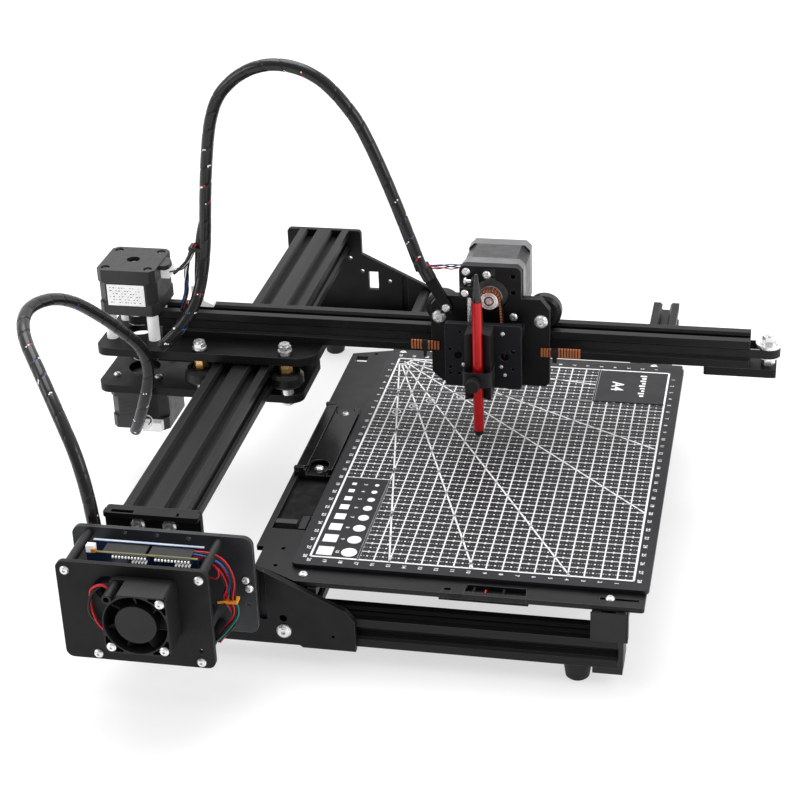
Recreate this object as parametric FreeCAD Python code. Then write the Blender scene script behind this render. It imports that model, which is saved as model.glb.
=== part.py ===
import FreeCAD, Part
import math
import os

V = FreeCAD.Vector
X_AXIS = V(1, 0, 0)
Y_AXIS = V(0, 1, 0)
Z_AXIS = V(0, 0, 1)

# ---------------------------------------------------------------- driving dimensions, mm
# All positions are written from the centre of the mat's top face (x right, y away, z up).
# ORIGIN_SHIFT moves the finished machine so that its bounding box stands centred on z = 0.
FLOOR_Z = -60.5

MAT_W, MAT_L, MAT_T = 220.0, 300.0, 3.0
BED_T = 3.5
BED_TOP = -MAT_T
BED_BOTTOM = BED_TOP - BED_T
RAIL = 20.0
RAIL_LEFT_X, RAIL_RIGHT_X = -100.5, 87.7
FRAME_FRONT_Y, FRAME_REAR_Y = -166.0, 278.0
CROSS_LEFT_X, CROSS_RIGHT_X = -206.0, 94.0
RAIL_BOTTOM = BED_BOTTOM - RAIL
CROSS_BOTTOM = RAIL_BOTTOM - RAIL
FOOT_H = CROSS_BOTTOM - FLOOR_Z
FOOT_R_TOP, FOOT_R_BOTTOM = 9.25, 7.4
FOOT_X = (-182.0, 68.5)
CROSS_Y = (FRAME_FRONT_Y + RAIL / 2, FRAME_REAR_Y - RAIL / 2)

PLATE_T, END_T = 6.0, 4.0
BEAM_X, BEAM_W, BEAM_H, BEAM_TOP = -188.5, 40.0, 20.0, 43.0
BEAM_MID_Z = BEAM_TOP - BEAM_H / 2

# V-slot profile
SLOT_MOUTH, SLOT_NECK, SLOT_WIDE, SLOT_FLOOR = 9.2, 6.2, 11.0, 5.4
LIP_T, SLOT_STEP, SLOT_DEPTH = 1.8, 3.3, 6.1

# V wheels
WHEEL_R, WHEEL_W, WHEEL_FLAT, WHEEL_BORE = 11.95, 10.2, 5.9, 2.55
WHEEL_OFF = 10.8
BOLT_R = 2.5

# gantry
GANTRY_Y = 62.0
AXLE_DY = 28.0
UPPER_Z0, LOWER_Z0 = BEAM_MID_Z + 12.0, BEAM_MID_Z - 18.0
XBEAM_X0, XBEAM_X1 = -252.0, 158.0
XBEAM_Z0 = UPPER_Z0 + PLATE_T
XBEAM_MID_Z = XBEAM_Z0 + RAIL / 2
MOTOR_X, MOTOR_SIDE, MOTOR_H = -271.7, 42.3, 34.0
X_MOTOR_Z0 = XBEAM_Z0 + RAIL
Y_MOTOR_Z0 = LOWER_Z0 - MOTOR_H
IDLER_X = 170.3
BELT_W, BELT_T = 6.0, 1.4
PULLEY_R = 6.1
BELT_GAP = 0.3
Y_PULLEY_R = 5.5
POST_R = 4.2

# carriage
CAR_X = -15.5
CAR_Y0, CAR_T = 44.0, 6.0
Z_MOTOR_X, Z_MOTOR_Z, Z_MOTOR_LEN = -14.4, 99.0, 42.0
ROD_R, ROD_Y = 1.5, 38.0
ROD_X = (-28.2, 1.6)
SLIDE_X0, SLIDE_X1, SLIDE_Z0, SLIDE_Z1 = -43.7, 8.3, 38.5, 85.0
SLIDE_Y0, SLIDE_T = 27.0, 4.0
PEN_X, PEN_Y, PEN_R = -18.8, 12.0, 3.5
PEN_TIP_Z, PEN_BARREL_Z0, PEN_BARREL_Z1, PEN_TOP_Z = 9.0, 14.0, 108.8, 128.2

# control box
PANEL = (-228.5, -135.8, -24.5, 42.5)
PANEL_Y, PANEL_T = -232.0, 3.0
BACK = (-233.5, -121.0, -26.0, 41.0)
BACK_Y = -190.0
FAN_X, FAN_Z, FAN_SIDE, FAN_DEPTH = -175.0, 15.5, 40.0, 20.0

# wiring harness
CORD_R = 4.25

ORIGIN_SHIFT = V(59.0, -15.8, -FLOOR_Z)

os.makedirs("parts", exist_ok=True)
made = {}


# ---------------------------------------------------------------- helpers
def box(x0, x1, y0, y1, z0, z1):
    return Part.makeBox(x1 - x0, y1 - y0, z1 - z0, V(x0, y0, z0))


def rod(x, y, z, r, h, axis=Z_AXIS):
    return Part.makeCylinder(r, h, V(x, y, z), axis)


def prism(points, direction):
    wire = Part.makePolygon(points + [points[0]])
    return Part.Face(wire).extrude(direction)


def prism_xz(pairs, y0, y1):
    return prism([V(x, y0, z) for x, z in pairs], V(0, y1 - y0, 0))


def prism_xy(pairs, z0, z1):
    return prism([V(x, y, z0) for x, y in pairs], V(0, 0, z1 - z0))


def prism_yz(pairs, x0, x1):
    return prism([V(x0, y, z) for y, z in pairs], V(x1 - x0, 0, 0))


def turned(profile, base, axis=Z_AXIS):
    """A body turned from (radius, height) pairs about an axis through base."""
    pts = [V(r, 0, h) for r, h in profile]
    face = Part.Face(Part.makePolygon(pts + [pts[0]]))
    body = face.revolve(V(0, 0, 0), Z_AXIS, 360)
    body.Placement = FreeCAD.Placement(base, FreeCAD.Rotation(Z_AXIS, axis))
    return body


def round_z(shape, r, keep=None):
    edges = []
    for e in shape.Edges:
        if len(e.Vertexes) != 2:
            continue
        a = e.Vertexes[0].Point
        b = e.Vertexes[1].Point
        if abs(a.x - b.x) < 1e-6 and abs(a.y - b.y) < 1e-6 and (keep is None or keep(a)):
            edges.append(e)
    return shape.makeFillet(r, edges)


def round_y(shape, r, keep=None):
    edges = []
    for e in shape.Edges:
        if len(e.Vertexes) != 2:
            continue
        a = e.Vertexes[0].Point
        b = e.Vertexes[1].Point
        if abs(a.x - b.x) < 1e-6 and abs(a.z - b.z) < 1e-6 and (keep is None or keep(a)):
            edges.append(e)
    return shape.makeFillet(r, edges)


def cut_all(shape, tools):
    for t in tools:
        shape = shape.cut(t)
    return shape


def fuse_all(shapes):
    out = shapes[0]
    for s in shapes[1:]:
        out = out.fuse(s)
    return out.removeSplitter()


def export(name, solids):
    if not isinstance(solids, (list, tuple)):
        solids = [solids]
    flat = []
    for s in solids:
        flat.extend(s.Solids)
    shape = flat[0] if len(flat) == 1 else Part.makeCompound(flat)
    shape = shape.copy()
    shape.translate(ORIGIN_SHIFT)
    made[name] = shape
    shape.exportStep("parts/" + name + ".step")


def slot_pairs():
    m, n, w, f = SLOT_MOUTH / 2, SLOT_NECK / 2, SLOT_WIDE / 2, SLOT_FLOOR / 2
    right = [(m, -0.5), (m, 0), (n, LIP_T), (w, LIP_T), (w, SLOT_STEP), (f, SLOT_DEPTH)]
    return right + [(-a, d) for a, d in reversed(right)]


def extrusion(width, height, length, core_holes=True):
    """V-slot bar along +x from 0, y from 0 to width, z from 0 to height, in 20 mm modules."""
    bar = Part.makeBox(length, width, height)
    cuts = []
    ny = int(round(width / RAIL))
    nz = int(round(height / RAIL))
    for i in range(ny):
        c = RAIL * (i + 0.5)
        cuts.append([V(-1, c + a, d) for a, d in slot_pairs()])
        cuts.append([V(-1, c + a, height - d) for a, d in slot_pairs()])
    for j in range(nz):
        c = RAIL * (j + 0.5)
        cuts.append([V(-1, d, c + a) for a, d in slot_pairs()])
        cuts.append([V(-1, width - d, c + a) for a, d in slot_pairs()])
    for pts in cuts:
        bar = bar.cut(prism(pts, V(length + 2, 0, 0)))
    if core_holes:
        for i in range(ny):
            for j in range(nz):
                bar = bar.cut(rod(-1, RAIL * (i + 0.5), RAIL * (j + 0.5), 2.1, length + 2, X_AXIS))
    if ny == 2:
        web = box(-1, length + 1, RAIL - 2.4, RAIL + 2.4, RAIL / 2 - 5.0, RAIL / 2 + 5.0)
        bar = bar.cut(web)
    return bar


def x_bar(x0, x1, y0, z0):
    bar = extrusion(RAIL, RAIL, x1 - x0)
    bar.translate(V(x0, y0, z0))
    return bar


def y_bar(x0, y0, y1, z0, width):
    bar = extrusion(width, RAIL, y1 - y0)
    bar.rotate(V(0, 0, 0), Z_AXIS, 90)
    bar.translate(V(x0 + width, y0, z0))
    return bar


def button_head(base, axis, r=2.9, h=1.7, socket=1.0):
    """Domed screw head standing on base and pointing along axis, with a socket."""
    head = turned([(0, 0), (r, 0), (r * 0.97, h * 0.4), (r * 0.75, h * 0.85), (r * 0.5, h), (0, h)],
                  base, axis)
    hole = Part.makeCylinder(socket, h * 0.6, base + axis * (h * 0.5), axis)
    return head.cut(hole)


def hexagon(x, y, z, across, h, axis=Z_AXIS):
    r = across / math.sqrt(3)
    pts = [V(r * math.cos(math.radians(60 * k)), r * math.sin(math.radians(60 * k)), 0) for k in range(6)]
    nut = prism(pts, V(0, 0, h))
    nut.Placement = FreeCAD.Placement(V(x, y, z), FreeCAD.Rotation(Z_AXIS, axis))
    return nut


# ---------------------------------------------------------------- base frame
y_beam = y_bar(BEAM_X - BEAM_W / 2, FRAME_FRONT_Y, FRAME_REAR_Y, BEAM_TOP - BEAM_H, BEAM_W)
export("y_beam", y_beam)

frame = []
for y in CROSS_Y:
    frame.append(x_bar(CROSS_LEFT_X, CROSS_RIGHT_X, y - RAIL / 2, CROSS_BOTTOM))
for x in (RAIL_LEFT_X, RAIL_RIGHT_X):
    frame.append(y_bar(x - RAIL / 2, FRAME_FRONT_Y, FRAME_REAR_Y, RAIL_BOTTOM, RAIL))
export("bed_frame_beams", frame)

caps = []
for y in CROSS_Y:
    cap = box(CROSS_RIGHT_X, CROSS_RIGHT_X + 3, y - 10, y + 10, CROSS_BOTTOM, CROSS_BOTTOM + RAIL)
    caps.append(cap.makeChamfer(0.6, [e for e in cap.Edges if e.BoundBox.XMin > CROSS_RIGHT_X + 2.9]))
    caps.append(box(CROSS_LEFT_X - 3, CROSS_LEFT_X, y - 10, y + 10, CROSS_BOTTOM, CROSS_BOTTOM + RAIL))
    caps.append(box(78.3, 96.5, y - 9, y + 9, CROSS_BOTTOM - 5.0, CROSS_BOTTOM))
export("beam_end_caps", caps)

feet = []
for y in CROSS_Y:
    for x in FOOT_X:
        foot = turned([(0, 0), (FOOT_R_BOTTOM - 1.2, 0), (FOOT_R_BOTTOM, 1.2), (FOOT_R_TOP, FOOT_H), (0, FOOT_H)],
                      V(x, y, FLOOR_Z))
        feet.append(foot)
export("feet", feet)


def end_plate(y0):
    outline = [(-219.5, 43.0), (-158.5, 43.0), (-158.5, 23.0), (-72.0, -19.5), (-66.5, -26.5), (-66.5, -48.0),
               (-100.0, -48.0), (-102.0, -46.5), (-219.5, -46.5)]
    p = prism_xz(outline, y0, y0 + END_T)
    p = round_y(p, 3.0, lambda a: a.x < -219 or (a.x > -159 and a.z > 42))
    tools = [rod(x, y0 - 1, z, 1.6, END_T + 2, Y_AXIS) for x, z in ((-168, 19), (-158.5, 8), (-136, 0))]
    tools.append(rod(-111.4, y0 - 1, -27.5, 2.6, END_T + 2, Y_AXIS))
    tools.append(rod(-80.5, y0 - 1, -38.2, 1.2, END_T + 2, Y_AXIS))
    tools.append(box(-153.5, -145.5, y0 - 1, y0 + END_T + 1, -8, 8))
    tools.append(round_y(box(-126.5, -121.3, y0 - 1, y0 + 2.5, -29.6, 5.4), 2.0))
    return cut_all(p, tools)


# the front end plate is folded forward at its top, with a pocket and a short slot in the fold
front_plate = end_plate(FRAME_FRONT_Y - END_T)
fold = round_z(box(-218.5, -158.5, FRAME_FRONT_Y - END_T - 5.8, FRAME_FRONT_Y - END_T, 39.8, 43.0), 1.2,
               lambda a: a.y < FRAME_FRONT_Y - END_T - 5)
fold = fold.cut(box(-214.0, -199.5, FRAME_FRONT_Y - END_T - 4.8, FRAME_FRONT_Y - END_T - 1.4, 40.8, 44.0))
fold = fold.cut(box(-172.6, -170.8, FRAME_FRONT_Y - END_T - 5.0, FRAME_FRONT_Y - END_T - 1.4, 39.0, 44.0))
export("end_plate_front", fuse_all([front_plate, fold]))
rear_plate = end_plate(FRAME_REAR_Y)
export("end_plate_rear", rear_plate)

bed_outline = [(-133.0, -149.5), (-104.5, -164.5), (-14.0, -164.5), (-12.0, -158.5), (-8.0, -158.5), (-8.0, -164.5),
               (0.0, -164.5), (1.0, -153.5), (37.0, -153.5), (38.0, -164.5),
               (108.5, -164.5), (108.5, 160.0), (-104.5, 160.0), (-138.0, 150.0), (-138.0, -128.0), (-133.0, -128.0)]
bed = prism_xy(bed_outline, BED_BOTTOM, BED_TOP)
bed = round_z(bed, 2.0, lambda a: a.x > 108)
bed_tools = [box(-134.0, -111.5, -106.0, -37.0, BED_BOTTOM - 1, BED_TOP + 1),
             box(-134.0, -125.0, 137.0, 146.0, BED_BOTTOM - 1, BED_TOP + 1),
             box(81.5, 105.0, -158.3, -155.7, BED_BOTTOM - 1, BED_TOP + 1)]
for x, y in ((-120.4, -129), (-120.4, -149), (-120.4, 151)):
    bed_tools.append(rod(x, y, BED_BOTTOM - 1, 1.6, BED_T + 2))
bed = cut_all(bed, bed_tools)
export("bed_plate", bed)

# shallow tray that closes the long window from below, with a tab standing in it
tray = box(-136.0, -110.8, -108.0, -35.0, BED_BOTTOM - 1.2, BED_BOTTOM)
tab = box(-133.0, -119.0, -100.5, -95.5, BED_BOTTOM - 0.6, BED_TOP - 0.6)
export("bed_pocket", tray.fuse(tab).removeSplitter())

mat = box(-MAT_W / 2, MAT_W / 2, -MAT_L / 2, MAT_L / 2, BED_TOP, 0)
mat = round_z(mat, 4.0)
export("cutting_mat", mat)

# spring clip at the left of the mat: channel-shaped base and a lever that opens about its left edge
CLIP_X0, CLIP_X1, CLIP_Y0, CLIP_Y1 = -137.5, -111.0, -38.0, 58.0
CLIP_PIN_X, CLIP_PIN_Z = -134.0, 1.2
clip = box(CLIP_X0 + 5.5, CLIP_X1, CLIP_Y0, CLIP_Y1, BED_TOP, BED_TOP + 1.2)
wall_r = box(CLIP_X1 - 4.5, CLIP_X1 - 3.3, CLIP_Y0, CLIP_Y1, BED_TOP, BED_TOP + 4.6)
lip = box(CLIP_X1 - 4.5, CLIP_X1, CLIP_Y0 + 3, CLIP_Y1 - 3, BED_TOP + 3.4, BED_TOP + 4.6)
bridge = box(CLIP_X0 + 9.0, CLIP_X1 - 3.3, CLIP_Y0 + 9, CLIP_Y1 - 9, BED_TOP + 3.4, BED_TOP + 4.6)
wall_l = box(CLIP_X0 + 7.8, CLIP_X0 + 9.0, CLIP_Y0, CLIP_Y1, BED_TOP, BED_TOP + 4.6)
clip = fuse_all([clip, wall_r, lip, bridge, wall_l])
for y in (CLIP_Y0 + 9, CLIP_Y1 - 9):
    clip = clip.cut(rod(-121.0, y, BED_TOP + 1.3, 7.0, 6))
ears = []
for y in (CLIP_Y0, CLIP_Y1 - 3):
    ear = box(CLIP_PIN_X - 2.3, CLIP_X0 + 8.0, y, y + 3, BED_TOP, CLIP_PIN_Z + 2.3)
    ears.append(ear.cut(rod(CLIP_PIN_X, y - 1, CLIP_PIN_Z, 1.02, 5, Y_AXIS)))
clip = fuse_all([clip] + ears)
export("clip_base", clip)

tube = rod(CLIP_PIN_X, CLIP_Y0 + 3.3, CLIP_PIN_Z, 2.0, CLIP_Y1 - CLIP_Y0 - 6.6, Y_AXIS)
pin = rod(CLIP_PIN_X, CLIP_Y0 + 0.2, CLIP_PIN_Z, 0.97, CLIP_Y1 - CLIP_Y0 - 0.4, Y_AXIS)
leaf = box(CLIP_PIN_X, CLIP_PIN_X + 6.0, CLIP_Y0 + 3.6, CLIP_Y1 - 3.6, CLIP_PIN_Z + 0.8, CLIP_PIN_Z + 2.0)
lever = fuse_all([tube, pin, leaf])
export("clip_lever", lever)

# ---------------------------------------------------------------- control box
back_plate = box(BACK[0], BACK[1], BACK_Y, BACK_Y + 3, BACK[2], BACK[3])
back_plate = round_y(back_plate, 6.0)
back_tools = [rod(x, BACK_Y - 1, z, 1.4, 5, Y_AXIS) for x, z in ((-126, -6), (-200, 39), (-180, 38.5), (-160, 38))]
export("box_back_plate", cut_all(back_plate, back_tools))

panel = box(PANEL[0], PANEL[1], PANEL_Y, PANEL_Y + PANEL_T, PANEL[2], PANEL[3])
panel = round_y(panel, 5.0)
panel_tools = [rod(-196.8, PANEL_Y - 1, 25.6, 9.0, 5, Y_AXIS),
               rod(FAN_X, PANEL_Y - 1, FAN_Z, 18.5, 5, Y_AXIS),
               rod(-144.0, PANEL_Y - 1, -12.6, 1.4, 5, Y_AXIS)]
export("box_front_panel", cut_all(panel, panel_tools))

BOX_POSTS = ((-222.8, 36.5), (-141.4, 36.5), (-208.0, -20.5), (-144.3, -20.5))
posts = [rod(x, PANEL_Y + PANEL_T, z, 3.0, BACK_Y - PANEL_Y - PANEL_T, Y_AXIS) for x, z in BOX_POSTS]
for x, z in ((-208, 4), (-133.5, -2)):
    posts.append(rod(x, BACK_Y + 3, z, 3.5, FRAME_FRONT_Y - END_T - BACK_Y - 3, Y_AXIS))
export("box_standoffs", posts)

BOARD_X0, BOARD_X1 = -214.0, -146.0
boards = []
for y, z1 in ((-205.0, 41.5), (-218.0, 41.5)):
    boards.append(box(BOARD_X0, BOARD_X1, y, y + 1.6, -14.5, z1))
export("circuit_boards", boards)
sockets = []
for x0, x1 in ((-205, -179), (-177, -151)):
    sockets.append(box(x0, x1, -216.4, -205.0, 33.5, 40.6))
    sockets.append(box(x0, x1, -216.4, -205.0, -11.0, -6.0))
for x0 in (-205, -187, -169):
    sockets.append(box(x0, x0 + 14, -224.5, -218.0, 12.0, 24.0))
sockets.append(box(-214.0, -203.0, -203.4, -190.5, 22.0, 33.0))
for x, z in ((-211, -11), (-149, -11), (-211, 18), (-149, 20)):
    sockets.append(rod(x, -203.4, z, 2.5, 13.4, Y_AXIS))
export("board_sockets", sockets)

FAN_FRONT = PANEL_Y - FAN_DEPTH
DUCT_R, LUG_R, LUG_OFF = 19.2, 3.0, 16.0
fan = box(FAN_X - 20, FAN_X + 20, FAN_FRONT, PANEL_Y, FAN_Z - 20, FAN_Z + 20)
fan = round_y(fan, 3.5)
# the corner where the wires leave is open round its lug
fan = fan.cut(box(FAN_X - 21, FAN_X - 9.5, FAN_FRONT - 1, PANEL_Y - 4.0, FAN_Z + 9.0, FAN_Z + 21))
fan = fan.cut(box(FAN_X - 21, FAN_X - 13.0, FAN_FRONT - 1, PANEL_Y - 4.0, FAN_Z + 2.0, FAN_Z + 21))
rim = rod(FAN_X, FAN_FRONT, FAN_Z, 20.0, FAN_DEPTH, Y_AXIS)
fan = fuse_all([fan, rim, rod(FAN_X - LUG_OFF, FAN_FRONT, FAN_Z + LUG_OFF, LUG_R, FAN_DEPTH, Y_AXIS)])
for sx, sz in ((1, 1), (1, -1), (-1, -1)):
    near, far = 9.0, 19.2
    pocket = box(min(sx * near, sx * far), max(sx * near, sx * far), FAN_FRONT - 1, FAN_FRONT + 3.0,
                 min(sz * near, sz * far), max(sz * near, sz * far))
    pocket.translate(V(FAN_X, 0, FAN_Z))
    pocket = pocket.cut(rod(FAN_X, FAN_FRONT - 2, FAN_Z, 20.0, 8, Y_AXIS))
    fan = fan.cut(pocket.cut(rod(FAN_X + sx * LUG_OFF, FAN_FRONT - 2, FAN_Z + sz * LUG_OFF, LUG_R + 0.1, 8, Y_AXIS)))
fan = fan.cut(rod(FAN_X, FAN_FRONT - 1, FAN_Z, DUCT_R, FAN_DEPTH + 2, Y_AXIS))
for sx in (-1, 1):
    for sz in (-1, 1):
        fan = fan.cut(rod(FAN_X + sx * LUG_OFF, FAN_FRONT - 1, FAN_Z + sz * LUG_OFF, 1.75, FAN_DEPTH + 2, Y_AXIS))
hub_mount = rod(FAN_X, PANEL_Y - 2, FAN_Z, 9.0, 2, Y_AXIS)
spokes = [box(FAN_X - 1, FAN_X + 1, PANEL_Y - 2, PANEL_Y, FAN_Z + 8, FAN_Z + 19.5)]
spokes.append(spokes[0].copy())
spokes.append(spokes[0].copy())
spokes[1].rotate(V(FAN_X, 0, FAN_Z), Y_AXIS, 120)
spokes[2].rotate(V(FAN_X, 0, FAN_Z), Y_AXIS, 240)
spindle = rod(FAN_X, PANEL_Y - 12, FAN_Z, 1.5, 11, Y_AXIS)
fan = fuse_all([fan, hub_mount, spindle] + spokes)
export("fan_frame", fan)

hub = rod(FAN_X, PANEL_Y - FAN_DEPTH + 0.6, FAN_Z, 12.5, 14.6, Y_AXIS)
hub = hub.cut(rod(FAN_X, PANEL_Y - FAN_DEPTH + 2.6, FAN_Z, 11.3, 14, Y_AXIS))
boss = rod(FAN_X, PANEL_Y - FAN_DEPTH + 2.0, FAN_Z, 3.2, 12.8, Y_AXIS)
boss = boss.cut(rod(FAN_X, PANEL_Y - FAN_DEPTH + 7, FAN_Z, 1.55, 12, Y_AXIS))
blades = []
for k in range(7):
    blade = prism_xz([(12.2, -0.5), (18.5, -0.6), (18.5, 0.6), (12.2, 0.5)], -6.0, 6.0)
    blade.rotate(V(0, 0, 0), X_AXIS, 38)
    blade.translate(V(FAN_X, PANEL_Y - FAN_DEPTH + 8.2, FAN_Z))
    blade.rotate(V(FAN_X, 0, FAN_Z), Y_AXIS, k * 360.0 / 7)
    blades.append(blade)
export("fan_rotor", fuse_all([hub, boss] + blades))

# ---------------------------------------------------------------- screws of the base
screws = []
for x in (BEAM_X - 10, BEAM_X + 10):
    screws.append(button_head(V(x, FRAME_FRONT_Y - END_T, BEAM_MID_Z), -Y_AXIS, 4.6, 3.2, 1.5))
    screws.append(button_head(V(x, FRAME_REAR_Y + END_T, BEAM_MID_Z), Y_AXIS, 4.6, 3.2, 1.5))
for x in (-111.4, -198.0):
    screws.append(button_head(V(x, FRAME_FRONT_Y - END_T, CROSS_BOTTOM + 10), -Y_AXIS, 4.75, 2.8, 1.5))
    screws.append(button_head(V(x, FRAME_REAR_Y + END_T, CROSS_BOTTOM + 10), Y_AXIS, 4.75, 2.8, 1.5))
for x in (RAIL_LEFT_X, RAIL_RIGHT_X):
    for y in (-157.0, 154.5):
        screws.append(button_head(V(x, y, BED_TOP), Z_AXIS, 2.9, 1.7, 0.9))
for y in (CLIP_Y0 + 9, CLIP_Y1 - 9):
    screws.append(button_head(V(-121.0, y, BED_TOP + 1.2), Z_AXIS, 3.1, 1.9, 1.1))
for x, z in BOX_POSTS:
    screws.append(button_head(V(x, PANEL_Y, z), -Y_AXIS, 2.9, 1.7, 0.9))
for sx, sz in ((1, 1), (1, -1), (-1, -1)):
    screws.append(button_head(V(FAN_X + sx * 16, PANEL_Y - FAN_DEPTH, FAN_Z + sz * 16), -Y_AXIS, 2.9, 1.6, 0.9))
screws.append(button_head(V(-124.8, BACK_Y, 6.0), -Y_AXIS, 2.6, 2.4, 0.9))
export("frame_screws", screws)

# y belt lying in the left slot of the y beam, held at both end plates
BEAM_LEFT = BEAM_X - BEAM_W / 2
y_belt = box(BEAM_LEFT + 2.3, BEAM_LEFT + 2.3 + BELT_T, FRAME_FRONT_Y + 0.2, FRAME_REAR_Y - 0.2,
             BEAM_MID_Z - BELT_W / 2, BEAM_MID_Z + BELT_W / 2)
export("y_belt", y_belt)

# ---------------------------------------------------------------- gantry
AXLE_L = BEAM_LEFT - WHEEL_OFF
AXLE_R = BEAM_X + BEAM_W / 2 + WHEEL_OFF
AXLES = [(x, GANTRY_Y + s * AXLE_DY) for x in (AXLE_L, AXLE_R) for s in (-1, 1)]

upper = prism_xy([(-295, 28), (-135, 28), (-135, 96), (-295, 96)], UPPER_Z0, UPPER_Z0 + PLATE_T)
upper = round_z(upper, 9.0, lambda a: a.x < -200)
upper = round_z(upper, 16.0, lambda a: a.x > -136)
upper = upper.cut(rod(MOTOR_X, GANTRY_Y, UPPER_Z0 - 1, 9.5, PLATE_T + 2))
lower = prism_xy([(-297, 30), (-147, 30), (-147, 94), (-297, 94)], LOWER_Z0, LOWER_Z0 + PLATE_T)
lower = round_z(lower, 9.0)
lower = lower.cut(rod(MOTOR_X, GANTRY_Y, LOWER_Z0 - 1, 11.5, PLATE_T + 2))
for x, y in AXLES:
    upper = upper.cut(rod(x, y, UPPER_Z0 - 1, BOLT_R + 0.1, PLATE_T + 2))
    lower = lower.cut(rod(x, y, LOWER_Z0 - 1, BOLT_R + 0.1, PLATE_T + 2))
export("gantry_upper_plate", upper)
export("gantry_lower_plate", lower)

gantry_bolts = []
for x, y in AXLES:
    shank = rod(x, y, LOWER_Z0 - 0.2, BOLT_R, UPPER_Z0 + PLATE_T + 7.2 - LOWER_Z0 + 0.2)
    head = turned([(0, 0), (2.6, 0), (4.6, 1.4), (4.75, 2.8), (0, 2.8)], V(x, y, LOWER_Z0 - 2.8))
    seat = UPPER_Z0 + PLATE_T + (1.4 if x < BEAM_X else 2.8)
    riser = rod(x, y, UPPER_Z0 + PLATE_T, 3.6, seat - UPPER_Z0 - PLATE_T)
    washer = rod(x, y, seat, 4.9, 1.0)
    nut = hexagon(x, y, seat + 1.0, 8.0, 3.2)
    collar = rod(x, y, seat + 4.2, 3.5, 1.4)
    low = rod(x, y, LOWER_Z0 + PLATE_T, 4.2, BEAM_MID_Z - WHEEL_W / 2 - 0.2 - LOWER_Z0 - PLATE_T)
    gantry_bolts.append(fuse_all([shank, head, riser, washer, nut, collar, low]))
POST_X = BEAM_LEFT - 0.1 - BELT_T - POST_R
POST_DY = Y_PULLEY_R + BELT_GAP + BELT_T + POST_R
for s in (-1, 1):
    gantry_bolts.append(rod(POST_X, GANTRY_Y + s * POST_DY, LOWER_Z0 + PLATE_T, POST_R,
                            UPPER_Z0 - LOWER_Z0 - PLATE_T))
for sx in (-1, 1):
    for sy in (-1, 1):
        x, y = MOTOR_X + sx * 15.5, GANTRY_Y + sy * 15.5
        gantry_bolts.append(button_head(V(x, y, LOWER_Z0 + PLATE_T), Z_AXIS, 2.8, 1.6, 1.0))
export("gantry_bolts", gantry_bolts)

spacers = []
for x, y in AXLES:
    z0 = BEAM_MID_Z + WHEEL_W / 2 + 0.2
    spacer = hexagon(x, y, z0, 8.0, UPPER_Z0 - z0)
    spacers.append(spacer.cut(rod(x, y, z0 - 1, BOLT_R + 0.02, 12)))
export("eccentric_spacers", spacers)


def v_wheel(base, axis):
    """V wheel centred on base; the rim enters a V slot."""
    h = WHEEL_W / 2
    f = WHEEL_FLAT / 2
    shoulder = WHEEL_R - (h - f)
    profile = [(WHEEL_BORE, -h), (6.2, -h), (6.2, -h + 0.9), (7.8, -h + 0.9), (7.8, -h), (shoulder, -h), (WHEEL_R, -f),
               (WHEEL_R, f), (shoulder, h), (7.8, h), (7.8, h - 0.9), (6.2, h - 0.9), (6.2, h), (WHEEL_BORE, h)]
    return turned(profile, base, axis)


for name, (x, y) in zip(("gantry_wheel_fl", "gantry_wheel_rl", "gantry_wheel_fr", "gantry_wheel_rr"), AXLES):
    export(name, v_wheel(V(x, y, BEAM_MID_Z), Z_AXIS))

x_beam = x_bar(XBEAM_X0, XBEAM_X1, GANTRY_Y - RAIL / 2, XBEAM_Z0)
export("x_beam", x_beam)

bracket = prism_xy([(128, 52), (176, 52), (176, 72), (128, 72)], XBEAM_Z0 - 6, XBEAM_Z0)
bracket = round_z(bracket, 2.0)
bracket = bracket.cut(rod(IDLER_X, GANTRY_Y, XBEAM_Z0 - 7, BOLT_R + 0.02, 8))
export("x_end_bracket", bracket)

idler_hw = [rod(IDLER_X, GANTRY_Y, XBEAM_Z0 - 6.2, BOLT_R, 28.0),
            rod(IDLER_X, GANTRY_Y, XBEAM_Z0 - 9.0, 4.5, 2.8),
            hexagon(IDLER_X, GANTRY_Y, XBEAM_Z0, 8.0, XBEAM_MID_Z - 4.4 - XBEAM_Z0),
            rod(IDLER_X, GANTRY_Y, XBEAM_MID_Z + 4.4, 8.7, 1.2),
            rod(IDLER_X, GANTRY_Y, XBEAM_MID_Z + 5.6, 6.0, 1.0),
            hexagon(IDLER_X, GANTRY_Y, XBEAM_MID_Z + 6.6, 8.0, 4.0)]
export("x_idler_bolt", fuse_all(idler_hw))


def pulley(base, axis, r, bore, shaft=None, near_flange=True):
    """Toothed pulley centred on base with flanges; shaft = (start, end) along axis."""
    start = -4.0 if near_flange else -3.4
    core = Part.makeCylinder(r, 4.0 - start, base + axis * start, axis)
    teeth = 20
    u = V(1, 0, 0) if abs(axis.x) < 0.5 else V(0, 1, 0)
    w = axis.cross(u)
    for k in range(teeth):
        a = 2 * math.pi * k / teeth
        c = base - axis * 3.2 + (u * math.cos(a) + w * math.sin(a)) * (r + 0.1)
        core = core.cut(Part.makeCylinder(0.55, 6.4, c, axis))
    parts = [core]
    for s in (-4.0, 3.2) if near_flange else (3.2,):
        parts.append(Part.makeCylinder(r + 1.9, 0.8, base + axis * s, axis))
    out = fuse_all(parts)
    if not near_flange:
        out = out.fuse(Part.makeCylinder(r, 0.8, base + axis * start, axis)).removeSplitter()
        out = out.cut(Part.makeCylinder(3.2, 0.8, base + axis * start, axis))
    if bore:
        out = out.cut(Part.makeCylinder(bore, 40, base - axis * 20, axis))
    if shaft:
        out = fuse_all([out, Part.makeCylinder(BOLT_R - 0.03, shaft[1] - shaft[0], base + axis * shaft[0], axis)])
    return out


export("x_idler", pulley(V(IDLER_X, GANTRY_Y, XBEAM_MID_Z), Z_AXIS, PULLEY_R, BOLT_R + 0.05))


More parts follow.
